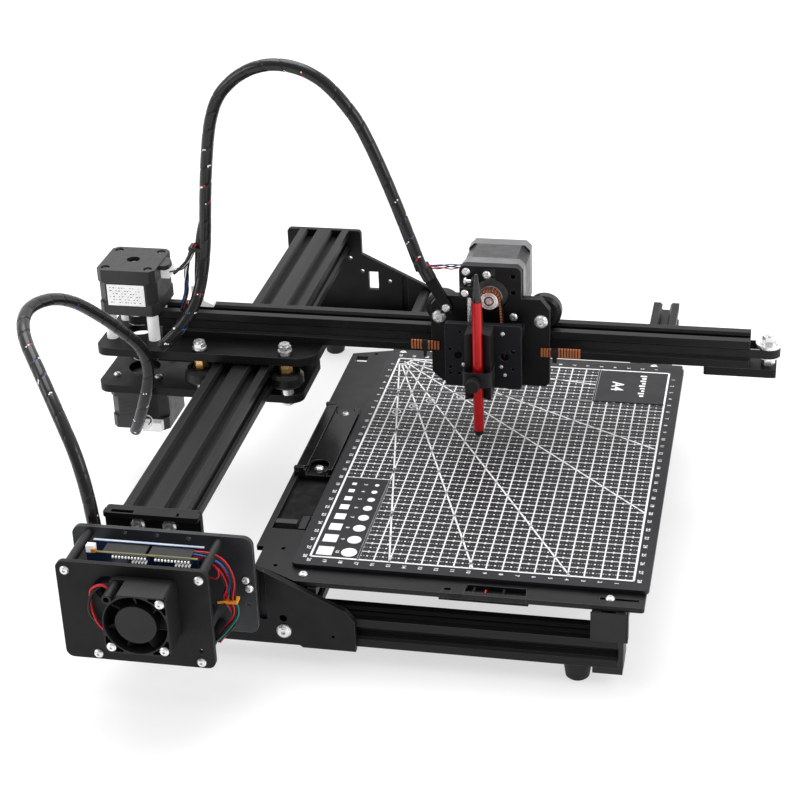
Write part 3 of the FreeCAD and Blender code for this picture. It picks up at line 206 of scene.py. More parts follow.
MATERIALS = {
    "x_bar": anodised("anodised_x", (0.016, 0.016, 0.0165), (0.05, 1, 1)),
    "y_bar": anodised("anodised_y", (0.018, 0.0185, 0.018), (1, 0.05, 1)),
    "frame_bar": anodised("anodised_frame", (0.015, 0.015, 0.015), (0.3, 0.3, 1)),
    "plate": anodised("anodised_plate", (0.013, 0.013, 0.013), rough=(0.4, 0.55)),
    "bed": anodised("anodised_bed", (0.02, 0.02, 0.0205), rough=(0.3, 0.42), wear_and_highlight=(0.2, 0.2, 0.2)),
    "slide": anodised("anodised_slide", (0.022, 0.024, 0.034), rough=(0.42, 0.55), wear_and_highlight=(0.16, 0.17, 0.2)),
    "powder": anodised("powder_coat", (0.014, 0.0145, 0.014), rough=(0.45, 0.58), grain=2600),
    # back plate: a lighter, bluish base that stands for dust and a painted sheen
    "dust_and_sheen": anodised("dust_and_sheen_plate", (0.085, 0.09, 0.1), rough=(0.3, 0.5), grain=2600, wear_and_highlight=(0.3, 0.3, 0.32)),
    "steel_black": anodised("black_plated", (0.02, 0.02, 0.021), rough=(0.16, 0.3), grain=700,
                            wear_and_highlight=(0.25, 0.25, 0.25)),
    "nylon": moulded("black_nylon", (0.012, 0.012, 0.0125), 0.42),
    "acetal": moulded("black_acetal", (0.01, 0.01, 0.0105), 0.3, 500, 0.06),
    "rubber": moulded("black_rubber", (0.012, 0.012, 0.012), 0.62, 1300, 0.3),
    "gloss": moulded("gloss_black", (0.014, 0.014, 0.017), 0.16, 300, 0.03, coat=0.4),
    "white": moulded("white_nylon", (0.93, 0.93, 0.92), 0.4, 500, 0.06, wear_and_highlight=(0.9, 0.9, 0.88)),
    "zinc": metal("zinc_steel", (0.82, 0.82, 0.82)),
    "machined": metal("machined_aluminium", (0.9, 0.89, 0.89), (0.22, 0.3)),
    "brass": metal("turned_brass", (0.78, 0.47, 0.18), (0.22, 0.4)),
    "wrap": moulded("spiral_wrap", (0.011, 0.011, 0.012), 0.24, 260, 0.05, coat=0.25),
    # dark gap colour: black wires and painted shade between the wrap's turns
    "gap": moulded("wire_gap_shade", (0.008, 0.008, 0.009), 0.6),
    "red_wire": moulded("red_wire", (0.62, 0.015, 0.02), 0.32, 300, 0.03),
    "blue_wire": moulded("blue_wire", (0.03, 0.12, 0.38), 0.35, 300, 0.03),
    "green_wire": moulded("green_wire", (0.02, 0.2, 0.16), 0.35, 300, 0.03),
    "white_wire": moulded("white_wire", (0.8, 0.8, 0.8), 0.35, 300, 0.03),
    "black_wire": moulded("black_wire", (0.012, 0.012, 0.014), 0.35, 300, 0.03),
    "orange": moulded("orange_tie", (0.85, 0.32, 0.02), 0.4, 300, 0.05),
    "label": moulded("white_label", (0.95, 0.95, 0.95), 0.4, 200, 0.02),
    # grey ink for the label's print, and painted shade in the pulley face's groove
    "ink_and_groove_shade": moulded("grey_ink_and_groove_shade", (0.16, 0.16, 0.17), 0.5, 200, 0.02),
    "pcb": moulded("solder_mask", (0.008, 0.022, 0.06), 0.3, 260, 0.12, coat=0.3),
    "tab": moulded("grey_tab", (0.035, 0.035, 0.037), 0.4),
    # near-black used as painted shade in the bed's window pocket and under the front wire channel
    "pit": moulded("unlit_black", (0.0015, 0.0015, 0.0015), 0.8),
    "pcb_edge": moulded("board_edge", (0.17, 0.16, 0.06), 0.6),
    # pale blue-white board edge: a painted highlight
    "pcb_highlight": moulded("board_edge_highlight", (0.42, 0.47, 0.60), 0.5),
    "copper_belt": moulded("copper_belt", (0.52, 0.16, 0.055), 0.5, 1500, 0.2),
    "print": moulded("mat_ink", (0.97, 0.97, 0.98), 0.5, 500, 0.08, wear_and_highlight=(0.9, 0.9, 0.9)),
    "x_motor": laminated("motor_black", (0.012, 0.012, 0.013), (0.014, 0.014, 0.0145), 2,
                         at(0, 0, 80).z, at(0, 0, 95.5).z),
    "y_motor": laminated("motor_black_low", (0.012, 0.012, 0.013), (0.014, 0.014, 0.0145), 2,
                         at(0, 0, -9.5).z, at(0, 0, 6).z),
    "z_motor": laminated("motor_grey", (0.022, 0.022, 0.024), (0.15, 0.15, 0.155), 1,
                         at(0, 59, 0).y, at(0, 82.5, 0).y, 0.36, 0.15),
}


def mat_surface():
    """Dark self-healing vinyl: soft satin, fine orange peel, a few pale scuffs."""
    p = Paint("mat_vinyl", shine=0.25)
    col = p.colour(p.noise(14, detail=6), (0.0065, 0.0065, 0.0085), (0.011, 0.011, 0.013))
    # pale line along the mat's edges: partly wear, partly a painted edge highlight
    normal = p.edge(0.0006, (0.05, 0.05, 0.055), col)
    p.rough(p.noise(60), 0.36, 0.5)
    p.bump(p.noise(1100, detail=3), 0.22, 0.00015, normal)
    return p.mat


def red_anodised():
    """Bright red anodised barrel, drawn along its length."""
    p = Paint("red_anodised", rough=0.3, metal=0.55, coat=0.3)
    p.colour(p.noise(60, (1, 1, 0.1), 1), (0.52, 0.004, 0.008), (0.66, 0.008, 0.012))
    p.rough(p.noise(300, (1, 1, 0.05), 1), 0.28, 0.34)
    return p.mat


# white nylon, labels and white wires glow a little: painted light, not a lamp
for pale in ("white", "label", "white_wire"):
    shader = MATERIALS[pale].node_tree.nodes["Principled BSDF"]
    shader.inputs["Emission Color"].default_value = (1, 1, 1, 1)
    shader.inputs["Emission Strength"].default_value = PAINTED_GLOW
MATERIALS["mat"] = mat_surface()
MATERIALS["red"] = red_anodised()

FINISH = {
    "x_bar": "x_beam",
    "y_bar": "y_beam",
    "frame_bar": "bed_frame_beams",
    "plate": "end_plate_front end_plate_rear gantry_upper_plate gantry_lower_plate carriage_plate "
             "x_end_bracket",
    "bed": "bed_plate",
    # the bed's window pocket is painted near-black as shade
    "pit": "bed_pocket",
    "slide": "slide_plate",
    "powder": "box_front_panel cable_arm",
    # the box's back plate carries dust and a painted sheen
    "dust_and_sheen": "box_back_plate",
    "steel_black": "clip_base clip_lever",
    "nylon": "beam_end_caps box_standoffs board_sockets pen_holder knob_front fan_frame fan_rotor",
    "acetal": " ".join(["gantry_wheel_" + k for k in ("fl", "rl", "fr", "rr")]
                       + ["carriage_wheel_" + k for k in ("tl", "tr", "bl", "br")]),
    "rubber": "feet stylus_tip drive_belts y_belt",
    "gloss": "stylus_cap",
    "white": "white_connectors motor_standoffs",
    "zinc": "frame_screws gantry_bolts carriage_bolts x_idler_bolt guide_rods",
    "brass": "eccentric_spacers",
    "machined": "x_pulley y_pulley z_pulley x_idler",
    "pcb": "circuit_boards",
    "copper_belt": "z_belt belt_ends",
    "x_motor": "x_motor",
    "y_motor": "y_motor",
    "z_motor": "z_motor",
    "mat": "cutting_mat",
    "red": "stylus_barrel",
    "wrap": "cable_a cable_b",
}
for finish, names in FINISH.items():
    for name in names.split():
        for slot in NODES[name].material_slots:
            slot.material = MATERIALS[finish]


# ---------------------------------------------------------------- mesh helpers
class Shape:
    """Gathers faces in mm for one piece, then makes the object."""

    def __init__(self):
        self.verts, self.faces, self.slots = [], [], []

    def add(self, verts, faces, slot=0):
        n = len(self.verts)
        self.verts += [at(*v) for v in verts]
        self.faces += [tuple(i + n for i in f) for f in faces]
        self.slots += [slot] * len(faces)

    def box(self, x0, x1, y0, y1, z0, z1, slot=0, spin=None):
        pts = [Vector((x, y, z)) for z in (z0, z1) for y in (y0, y1) for x in (x0, x1)]
        if spin is not None:
            centre = sum(pts, Vector()) / 8
            pts = [centre + spin @ (p - centre) for p in pts]
        faces = [(0, 2, 3, 1), (4, 5, 7, 6), (0, 1, 5, 4), (2, 6, 7, 3), (0, 4, 6, 2), (1, 3, 7, 5)]
        self.add(pts, faces, slot)

    def turned(self, profile, base, axis=Z, seg=32, slot=0, hexed=()):
        """A (radius, height) profile turned about an axis through base; rows in hexed are six-sided."""
        u = axis.orthogonal().normalized()
        w = axis.cross(u)
        rows, pts, faces = [], [], []
        for k, (r, h) in enumerate(profile):
            c = Vector(base) + axis * h
            if r <= 1e-6:
                rows.append([len(pts)] * seg)
                pts.append(c)
                continue
            rows.append(list(range(len(pts), len(pts) + seg)))
            for i in range(seg):
                a = 2 * math.pi * i / seg
                rr = r / math.cos((a % (math.pi / 3)) - math.pi / 6) if k in hexed else r
                pts.append(c + (u * math.cos(a) + w * math.sin(a)) * rr)
        closed = profile[0][0] > 1e-6
        pairs = list(zip(rows, rows[1:])) + ([(rows[-1], rows[0])] if closed else [])
        for a, b in pairs:
            for i in range(seg):
                j = (i + 1) % seg
                quad = []
                for q in (a[i], a[j], b[j], b[i]):
                    if q not in quad:
                        quad.append(q)
                if len(quad) > 2:
                    faces.append(tuple(quad))
        self.add(pts, faces, slot)

    def prism(self, outline, lift, slot=0):
        """A solid between an outline of 3-D points and the same outline lifted."""
        n = len(outline)
        top = [Vector(p) + Vector(lift) for p in outline]
        faces = [tuple(reversed(range(n))), tuple(range(n, 2 * n))]
        faces += [(i, (i + 1) % n, n + (i + 1) % n, n + i) for i in range(n)]
        self.add([Vector(p) for p in outline] + top, faces, slot)

    def tube(self, path, radius, seg=10, slot=0):
        """A round rod along a path, closed at both ends."""
        rings = along(path)
        pts = []
        for c, u, w in rings:
            for i in range(seg):
                a = 2 * math.pi * i / seg
                pts.append(c + (u * math.cos(a) + w * math.sin(a)) * radius)
        n = len(rings)
        faces = tube_faces(n, seg)
        faces += [tuple(reversed(range(seg))), tuple(range((n - 1) * seg, n * seg))]
        self.add(pts, faces, slot)

    def done(self, name, paints, body, slot=None, angle=40, bevel=0.0, replaces=()):
        """Makes the object, with sharp edges above angle and all edges eased by bevel mm."""
        mesh = bpy.data.meshes.new(name)
        mesh.from_pydata([tuple(v) for v in self.verts], [], self.faces)
        for p in paints:
            mesh.materials.append(MATERIALS[p])
        mesh.polygons.foreach_set("material_index", self.slots)
        mesh.validate()
        mesh.shade_smooth()
        mesh.set_sharp_from_angle(angle=math.radians(angle))
        obj = bpy.data.objects.new(name, mesh)
        bpy.context.scene.collection.objects.link(obj)
        if bevel:
            b = obj.modifiers.new("edges", "BEVEL")
            b.width, b.segments, b.limit_method, b.angle_limit = bevel * MM, 2, "ANGLE", math.radians(50)
        if body:
            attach(obj, body)
        if replaces:
            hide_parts(*replaces)
        return obj


def tube_faces(rings, seg):
    """The quads between neighbouring rings of seg points."""
    return [(k * seg + i, k * seg + (i + 1) % seg, (k + 1) * seg + (i + 1) % seg, (k + 1) * seg + i)
            for k in range(rings - 1) for i in range(seg)]


def along(path):
    """(centre, side, up) at each point of a path, with no twist between them."""
    out, u = [], None
    for k, c in enumerate(path):
        t = (path[min(k + 1, len(path) - 1)] - path[max(k - 1, 0)]).normalized()
        u = (t.orthogonal() if u is None else u - t * u.dot(t)).normalized()
        out.append((c, u, t.cross(u)))
    return out


def route(points, step=None):
    """Points in mm along one smooth NURBS line drawn by the given control points."""
    curve = bpy.data.curves.new("route", "CURVE")
    curve.dimensions = "3D"
    spline = curve.splines.new("NURBS")
    spline.points.add(len(points) - 1)
    for p, q in zip(spline.points, points):
        p.co = (*q, 1)
    spline.order_u = 3
    spline.use_endpoint_u = True
    spline.resolution_u = 24
    obj = bpy.data.objects.new("route", curve)
    mesh = bpy.data.meshes.new_from_object(obj)
    line = [v.co.copy() for v in mesh.vertices]
    bpy.data.objects.remove(obj)
    bpy.data.curves.remove(curve)
    bpy.data.meshes.remove(mesh)
    if step is None:
        return line
    length = sum((b - a).length for a, b in zip(line, line[1:]))
    count = max(2, round(length / step))
    out, k, done = [line[0]], 0, 0.0
    for i in range(1, count):
        target = length * i / count
        while done + (line[k + 1] - line[k]).length < target:
            done += (line[k + 1] - line[k]).length
            k += 1
        seg = (line[k + 1] - line[k]).length
        out.append(line[k].lerp(line[k + 1], (target - done) / seg))
    return out + [line[-1]]


# ---------------------------------------------------------------- cutting mat print
INK = 0.07                          # height of the print
CELL, COLUMNS, ROWS = 10.0, 20, 28
HALF_W, HALF_L = CELL * COLUMNS / 2, CELL * ROWS / 2
LINE_ALONG, LINE_ACROSS, BORDER = 0.95, 0.7, 1.35
TABLE_X, TABLE_Y = -70.0, -40.0     # inner corner of the shape table
TITLE_X, TITLE_Y = 50.0, 90.0       # inner corner of the title box
FAN_R = 9.5                         # arc that the angle lines start from
TEXT_SIZE, TEXT_BOLD = 3.6, 0.02


def bar(shape, x0, y0, x1, y1, width):
    """A printed line between two points of the mat."""
    d = Vector((x1 - x0, y1 - y0, 0)).normalized()
    n = Vector((-d.y, d.x, 0)) * width / 2
    a, b = Vector((x0, y0, 0.0)), Vector((x1, y1, 0.0))
    shape.prism([a + n, a - n, b - n, b + n], (0, 0, INK))


def disc(shape, x, y, r, seg):
    """A printed dot."""
    turns = [2 * math.pi * i / seg for i in range(seg)]
    shape.prism([(x + r * math.cos(a), y + r * math.sin(a), 0) for a in turns], (0, 0, INK))


def ring(shape, x, y, r, width, a0=0.0, a1=2 * math.pi, seg=20):
    """A printed arc from angle a0 to a1."""
    step = (a1 - a0) / seg
    for i in range(seg):
        a, b = a0 + i * step, a0 + (i + 1) * step
        bar(shape, x + r * math.cos(a), y + r * math.sin(a), x + r * math.cos(b), y + r * math.sin(b), width)


def blank(x, y):
    """Whether a square lies in the shape table or the title box."""
    return (x < TABLE_X and y < TABLE_Y) or (x > TITLE_X and y > TITLE_Y)


grid = Shape()
for i in range(1, COLUMNS):
    x = -HALF_W + CELL * i
    low = TABLE_Y if x < TABLE_X - 1 else -HALF_L
    high = TITLE_Y if x > TITLE_X + 1 else HALF_L
    bar(grid, x, low, x, high, LINE_ALONG)
for j in range(1, ROWS):
    y = -HALF_L + CELL * j
    left = TABLE_X if y < TABLE_Y - 1 else -HALF_W
    right = TITLE_X if y > TITLE_Y + 1 else HALF_W
    bar(grid, left, y, right, y, LINE_ACROSS)
BORDER_LINES = ((-HALF_W, -HALF_L, HALF_W, -HALF_L), (HALF_W, -HALF_L, HALF_W, HALF_L),
                (HALF_W, HALF_L, -HALF_W, HALF_L), (-HALF_W, HALF_L, -HALF_W, -HALF_L),
                (TITLE_X, HALF_L, TITLE_X, TITLE_Y), (TITLE_X, TITLE_Y, HALF_W, TITLE_Y),
                (TABLE_X, -HALF_L, TABLE_X, TABLE_Y), (-HALF_W, TITLE_Y, HALF_W, TITLE_Y))
for x0, y0, x1, y1 in BORDER_LINES:
    bar(grid, x0, y0, x1, y1, BORDER)
for i in range(COLUMNS):
    for j in range(ROWS):
        x, y = -HALF_W + CELL * (i + 0.5), -HALF_L + CELL * (j + 0.5)
        if blank(x, y):
            continue
        disc(grid, x, y, 0.7, 8)
        for s in (-1, 1):
            bar(grid, x + s * 5, y, x + s * 3.3, y, 0.5)
            bar(grid, x, y + s * 5, x, y + s * 3.8, 1.0)
            bar(grid, x + s * 2.5, y, x + s * 1.8, y, 0.35)
FAN_ENDS = ((-50, -140), (2, -140), (61.5, -140), (100, -60), (100, 24.5), (50, 115.5))
for x, y in FAN_ENDS:
    d = Vector((x + HALF_W, y - HALF_L)).normalized()
    bar(grid, -HALF_W + d.x * FAN_R, HALF_L + d.y * FAN_R, x, y, 1.15)
ring(grid, -HALF_W, HALF_L, FAN_R, 1.3, -math.pi / 2, 0, 12)

# the shape table: a square, its size and a disc in each row, 3 to 10 mm
SQUARE_X, SIZE_X, DISC_X, ROW_SPACE = -92.3, -84.6, -77.0, 6.0
SHAPE_ROWS = []
row_y = -48.6
for size in range(3, 11):
    SHAPE_ROWS.append((size, row_y))
    row_y -= size + ROW_SPACE
for size, y in SHAPE_ROWS:
    h = size / 2
    grid.prism([(SQUARE_X - h, y - h, 0), (SQUARE_X + h, y - h, 0), (SQUARE_X + h, y + h, 0),
                (SQUARE_X - h, y + h, 0)], (0, 0, INK))
    disc(grid, DISC_X, y, h, 32)

# the title box: plain bars in place of words
BARS_X, BARS_Y, BAR_SPACE = 84.5, 133, 3.9
for k, long in enumerate((4.6, 3.2, 4.0, 2.6, 4.4, 3.4, 2.2, 4.2, 3.0)):
    bar(grid, BARS_X, BARS_Y - k * BAR_SPACE, BARS_X - long, BARS_Y - k * BAR_SPACE, 2.2)
ANGLES = ((-85.2, 55.7, "10"), (-75.0, 65.5, "20"), (-64.8, 75.7, "30"), (-44.0, 84.0, "45"),
          (-28.0, 98.0, "60"))
for x, y, _ in ANGLES:
    ring(grid, x, y, 2.9, 0.7)
grid.done("mat_print", ["print"], "base", "cutting_mat", angle=30)


def glyphs(words, size):
    """Vertices and faces of generic numerals in mm, centred, reading along +x."""
    curve = bpy.data.curves.new("word", "FONT")
    curve.body, curve.size, curve.align_x, curve.align_y = words, size, "CENTER", "CENTER"
    curve.resolution_u, curve.extrude, curve.offset = 2, INK / 2, TEXT_BOLD * size
    obj = bpy.data.objects.new("word", curve)
    mesh = bpy.data.meshes.new_from_object(obj)
    verts = [v.co.copy() for v in mesh.vertices]
    faces = [tuple(p.vertices) for p in mesh.polygons]
    bpy.data.objects.remove(obj)
    bpy.data.curves.remove(curve)
    bpy.data.meshes.remove(mesh)
    return verts, faces


numbers = Shape()


def write(words, x, y, size=TEXT_SIZE):
    """Numerals printed on the mat with their tops towards +x."""
    verts, faces = glyphs(words, size)
    numbers.add([(x + v.y, y - v.x, v.z + INK / 2) for v in verts], faces)


for i in range(1, COLUMNS + 1):
    write(str(i), HALF_W - CELL * i, -HALF_L - 4.2)
    write(str(i), HALF_W - CELL * i, HALF_L + 5.0)
for j in range(1, ROWS + 1):
    write(str(j), -HALF_W - 3.4, HALF_L - CELL * j)
    write(str(j), HALF_W + 3.4, HALF_L - CELL * j)
for size, y in SHAPE_ROWS:
    write(str(size), SIZE_X, y, 3.4)
for x, y, words in ANGLES:
    write(words, x, y, 2.9)
write("A4", 64.5, 115.0, 12.0)
numbers.done("mat_numbers", ["print"], "base", "cutting_mat", angle=30)

# ---------------------------------------------------------------- spiral-wrapped harness
WRAP_R, WIRE_R, PITCH = 4.25, 3.95, 13.5
RING_SEG, RING_STEP = 28, 0.8
WIRES_ROUND, WIRE_TURN = 9, 70.0    # wires side by side under the wrap, and the mm in which they turn once
WIRE_SLOTS = {0: 2, 3: 3, 6: 4, 8: 3}


def wrapped(name, points):
    """A mesh tube with a spiral band; wires show where the band's turns stand apart."""
    path = route(points, RING_STEP)
    shape = Shape()
    pts, slots = [], []
    for k, (c, u, w) in enumerate(along(path)):
        s = k * RING_STEP
        open_share = 0.045 + 0.03 * math.sin(s * 0.11) + 0.03 * math.sin(s * 0.043 + 1.3)
        coloured = math.sin(s * 0.052 + 0.6) + 0.5 * math.sin(s * 0.017) > 0.35
        for i in range(RING_SEG):
            a = 2 * math.pi * i / RING_SEG
            phase = (s / PITCH - a / (2 * math.pi)) % 1.0
            gap = phase < max(0.035, open_share)
            r = WIRE_R if gap else WRAP_R - 0.10 * (2 * phase - 1.0) ** 4
            pts.append(c + (u * math.cos(a) + w * math.sin(a)) * r)
            if k < len(path) - 1:
                wire = int((a / (2 * math.pi) + s / WIRE_TURN) * WIRES_ROUND) % WIRES_ROUND
                # gap faces without coloured wires take the dark gap colour: black wires and painted shade
                slots.append((WIRE_SLOTS.get(wire, 1) if coloured else 1) if gap else 0)
    shape.add(pts, tube_faces(len(path), RING_SEG))
    shape.slots = slots
    shape.add(pts[:RING_SEG], [tuple(reversed(range(RING_SEG)))], 1)
    shape.add(pts[-RING_SEG:], [tuple(range(RING_SEG))], 1)
    obj = shape.done(name, ["wrap", "gap", "red_wire", "white_wire", "blue_wire"], None, angle=50)
    return obj, path


def bend_along(obj, path):
    """Bakes the harness's placement into its mesh and finds how far along the path each vertex lies; that
    distance is not used.
    """
    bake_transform(obj)
    points = [at(*p) for p in path]
    length = sum((q - p).length for p, q in zip(path, path[1:]))
    tree = KDTree(len(points))
    for i, p in enumerate(points):
        tree.insert(p, i)
    tree.balance()
    for v in obj.data.vertices:
        s = tree.find(v.co)[1] / (len(points) - 1) * length


CABLE_A = [(-222.0, -179.5, 2.0), (-223.0, -178.5, 60.0), (-256.0, -146.0, 106.0),
           (-298.0, -90.0, 130.0), (-289.0, -36.0, 122.0), (-268.0, 0.0, 85.0),
           (-250.0, 21.0, 50.0), (-262.0, 22.0, 4.0), (-273.0, 33.0, -16.0)]
CABLE_B = [(-243.5, 23.7, 55.7), (-223.0, 33.0, 74.0), (-217.5, 57.0, 104.0), (-212.0, 57.0, 172.0),
           (-204.0, 57.0, 221.0), (-187.0, 56.0, 242.0), (-164.0, 54.0, 253.0), (-139.0, 52.0, 251.5),
           (-117.0, 49.0, 239.0), (-91.0, 46.0, 203.0), (-59.6, 35.6, 119.5)]
harness_a, path_a = wrapped("harness_a", CABLE_A)
harness_b, path_b = wrapped("harness_b", CABLE_B)
bend_along(harness_a, path_a)
bend_along(harness_b, path_b)
for obj, path, node, length in ((harness_a, path_a, "cable_a", 0.4137),
                                (harness_b, path_b, "cable_b", 0.4185)):
    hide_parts(node)


# ---------------------------------------------------------------- small pieces
def screw(shape, base, axis, r=2.8, h=1.5, slot=0):
    """Domed screw head with a hexagonal recess."""
    profile = [(0, 0), (r, 0), (r, h * 0.45), (r * 0.84, h * 0.85), (r * 0.6, h), (r * 0.5, h),
               (r * 0.5, h * 0.3), (0, h * 0.3)]
    shape.turned(profile, base, axis, 24, slot, (5, 6))


def bundle(shape, points, spread, slots, radius=0.8, turns=0.6):
    """Thin wires laid round a common line, slowly twisting about it."""
    rings = along(route(points))
    for k, slot in enumerate(slots):
        path = []
        for i, (c, u, w) in enumerate(rings):
            a = 2 * math.pi * (k / len(slots) + turns * i / len(rings))
            fan_out = spread * (1 + 0.25 * math.sin(3.1 * k + i * 0.12))
            path.append(c + (u * math.cos(a) + w * math.sin(a)) * fan_out)
        shape.tube(path, radius, 8, slot)


# ---------------------------------------------------------------- upper motor's screws, boss and label
MOTOR_X, BEAM_Y = -271.7, 62.0
MOTOR_TOP, SCREW_OFFSET = 102.4, 15.5
trim = Shape()
for sx in (-1, 1):
    for sy in (-1, 1):
        screw(trim, (MOTOR_X + sx * SCREW_OFFSET, BEAM_Y + sy * SCREW_OFFSET, MOTOR_TOP), Z, 2.5, 1.5)
boss_profile = [(0, 0), (4.5, 0), (4.5, 0.9), (3.4, 0.9), (3.4, 0.5), (0, 0.5)]
trim.turned(boss_profile, (MOTOR_X, BEAM_Y, 100.0), Z, 32, 1)
trim.turned([(0, 0), (1.9, 0), (2.1, 2.2), (0, 2.4)], (MOTOR_X, BEAM_Y, 100.5), Z, 24)
trim.done("x_motor_screws", ["zinc", "black_wire"], "gantry", "x_motor")

LABEL_X, LABEL_TOP, DASH_STEP, DASH_ROW = -283.6, 91.7, 2.1, 2.2
label = Shape()
label.box(-285.6, -258.4, 40.68, 40.87, 78.6, 94.4)
for k in range(6):
    z = LABEL_TOP - DASH_ROW * k
    for i in range(11):
        x = LABEL_X + DASH_STEP * i
        long = 1.0 + 0.5 * math.sin(2.3 * i + 1.7 * k)
        if math.sin(1.9 * i + 2.6 * k) > -0.75:
            label.box(x, x + long, 40.64, 40.70, z, z + 0.6, 1)
label.done("x_motor_label", ["label", "ink_and_groove_shade"], "gantry", "x_motor", bevel=0.05)

# ---------------------------------------------------------------- control boards
BOARD_X0, BOARD_X1 = -214.1, -145.9
PIN_STEP = 2.0
CHIPS = ((-203, 31, 6, 3, 3), (-191, 30, 5, 5, 3), (-181, 31, 8, 4, 5), (-168, 30, 5, 5, 3),
         (-157, 31, 6, 3, 5))       # x, z, width, height and slot
board = Shape()
board.box(BOARD_X0, BOARD_X1, -218.1, -216.3, 41.1, 41.6, 1)
# the rear board's top edge is painted pale blue-white as a highlight
board.box(BOARD_X0, BOARD_X1, -205.1, -203.3, 41.1, 41.6, 2)
for x0, x1 in ((-197.5, -176.0), (-171.5, -149.5)):
    board.box(x0, x1, -220.3, -217.9, 39.6, 41.9, 3)
    pins = round((x1 - x0) / PIN_STEP)
    for i in range(pins):
        x = x0 + (i + 0.5) * (x1 - x0) / pins
        board.box(x - 0.5, x + 0.5, -221.4, -220.2, 40.3, 41.5, 0)
        if i > pins / 2:
            board.box(x - 0.45, x + 0.45, -221.0, -217.9, 37.4, 38.5, 0)
board.box(-213.4, -208.2, -219.4, -215.4, 41.6, 46.2, 0)
board.box(-210.4, -207.6, -219.8, -217.2, 41.8, 44.2, 4)
for x, z, w, h, slot in CHIPS:
    board.box(x - w / 2, x + w / 2, -219.6, -217.9, z - h / 2, z + h / 2, slot)
board.done("board_parts", ["white_wire", "pcb_edge", "pcb_highlight", "nylon", "orange", "machined"], "base",
           "circuit_boards", bevel=0.12)

FAN_LEAD = [(-194, -234.2, -4), (-203.5, -234.4, -1), (-209.3, -234.6, 11), (-207.5, -235.4, 25),
            (-199, -236.5, 32.5), (-191.0, -235.5, 28), (-193.5, -226, 22)]
SIDE_BUNDLE = [(-152, -208, 38.6), (-138, -206, 37.6), (-129.2, -205, 24), (-131.5, -205, 9),
               (-128.9, -205, -3), (-134.5, -206, -13), (-141.5, -209, -20.5)]
SIDE_INNER = [(-150, -210, 37.5), (-139.5, -208, 33), (-132.5, -206, 18), (-136.5, -205, 9),
              (-133.0, -204.5, 1), (-131.0, -204.5, -4), (-133.0, -204.0, 2)]
SIDE_LOOP = [(-150, -207, 24), (-141, -209, 22), (-135.4, -211, 26.1), (-137, -209, 32), (-148, -206, 34)]
wires = Shape()
bundle(wires, FAN_LEAD, 0.95, [0, 1], 0.8, 1.5)
bundle(wires, SIDE_BUNDLE, 1.6, [0, 1, 2, 0, 1, 3, 1], 0.62, 0.7)
bundle(wires, SIDE_INNER, 0.8, [0, 1, 0], 0.55, 0.9)
bundle(wires, SIDE_LOOP, 0.5, [0], 0.55)
wires.box(-134.6, -127.4, -208.4, -201.8, 6.0, 7.6, 4)
wires.box(-139.5, -133.6, -208.6, -207.6, 6.2, 7.3, 4, Matrix.Rotation(-0.25, 3, "Y"))
screw(wires, (-126.7, -190.0, 11.5), -Y, 2.4, 1.6, 5)
wires.done("control_wires", ["red_wire", "black_wire", "blue_wire", "green_wire", "orange", "zinc"], "base",
           "circuit_boards", bevel=0.1)

# ---------------------------------------------------------------- toothed belts
PULLEY_X, PULLEY_Z = -14.4, 99.0
LOW_TURN_X, LOW_TURN_Z = -10.4, 44.0


def z_loop(r, pitch):
    """Places and outward directions along the pen-lift belt at about the given pitch."""
    top, low = Vector((PULLEY_X, 0, PULLEY_Z)), Vector((LOW_TURN_X, 0, LOW_TURN_Z))
    drop = low - top
    side = Vector((-drop.z, 0, drop.x)).normalized()
    straight, half_turn = round(drop.length / pitch), round(math.pi * r / pitch)
    out = []
    for begin, run, out_side in ((top, drop, side), (low, -drop, -side)):
        end = begin + run
        for i in range(straight):
            out.append((begin + run * (i / straight) + out_side * r, out_side))
        for i in range(half_turn):
            d = Matrix.Rotation(math.pi * i / half_turn, 3, "Y") @ out_side
            out.append((end + d * r, d))
    return out


belt = Shape()
stations = z_loop(7.4, 1.0)
pts = []
for c, d in stations:
    for off, y in ((0.38, 35.05), (0.38, 40.95), (-0.3, 40.95), (-0.3, 35.05)):
        pts.append(Vector((c.x + d.x * off, y, c.z + d.z * off)))
n = len(stations)
belt.add(pts, [(4 * k + i, 4 * k + (i + 1) % 4, 4 * ((k + 1) % n) + (i + 1) % 4, 4 * ((k + 1) % n) + i)
               for k in range(n) for i in range(4)], 1)
TOOTH = ((-0.68, -0.4), (0.66, -0.62), (0.66, 0.62), (-0.68, 0.4))
TOOTH_FACES = [(3, 2, 1, 0), (4, 5, 6, 7), (0, 1, 5, 4), (1, 2, 6, 5), (2, 3, 7, 6), (3, 0, 4, 7)]
for c, d in z_loop(7.1, 2.0):
    t = d.cross(Y)
    belt.add([Vector((c.x, y, c.z)) + d * a + t * b for y in (35.0, 41.0) for a, b in TOOTH], TOOTH_FACES)
belt.done("lift_belt", ["copper_belt", "black_wire"], "carriage", "z_belt", replaces=["z_belt"])

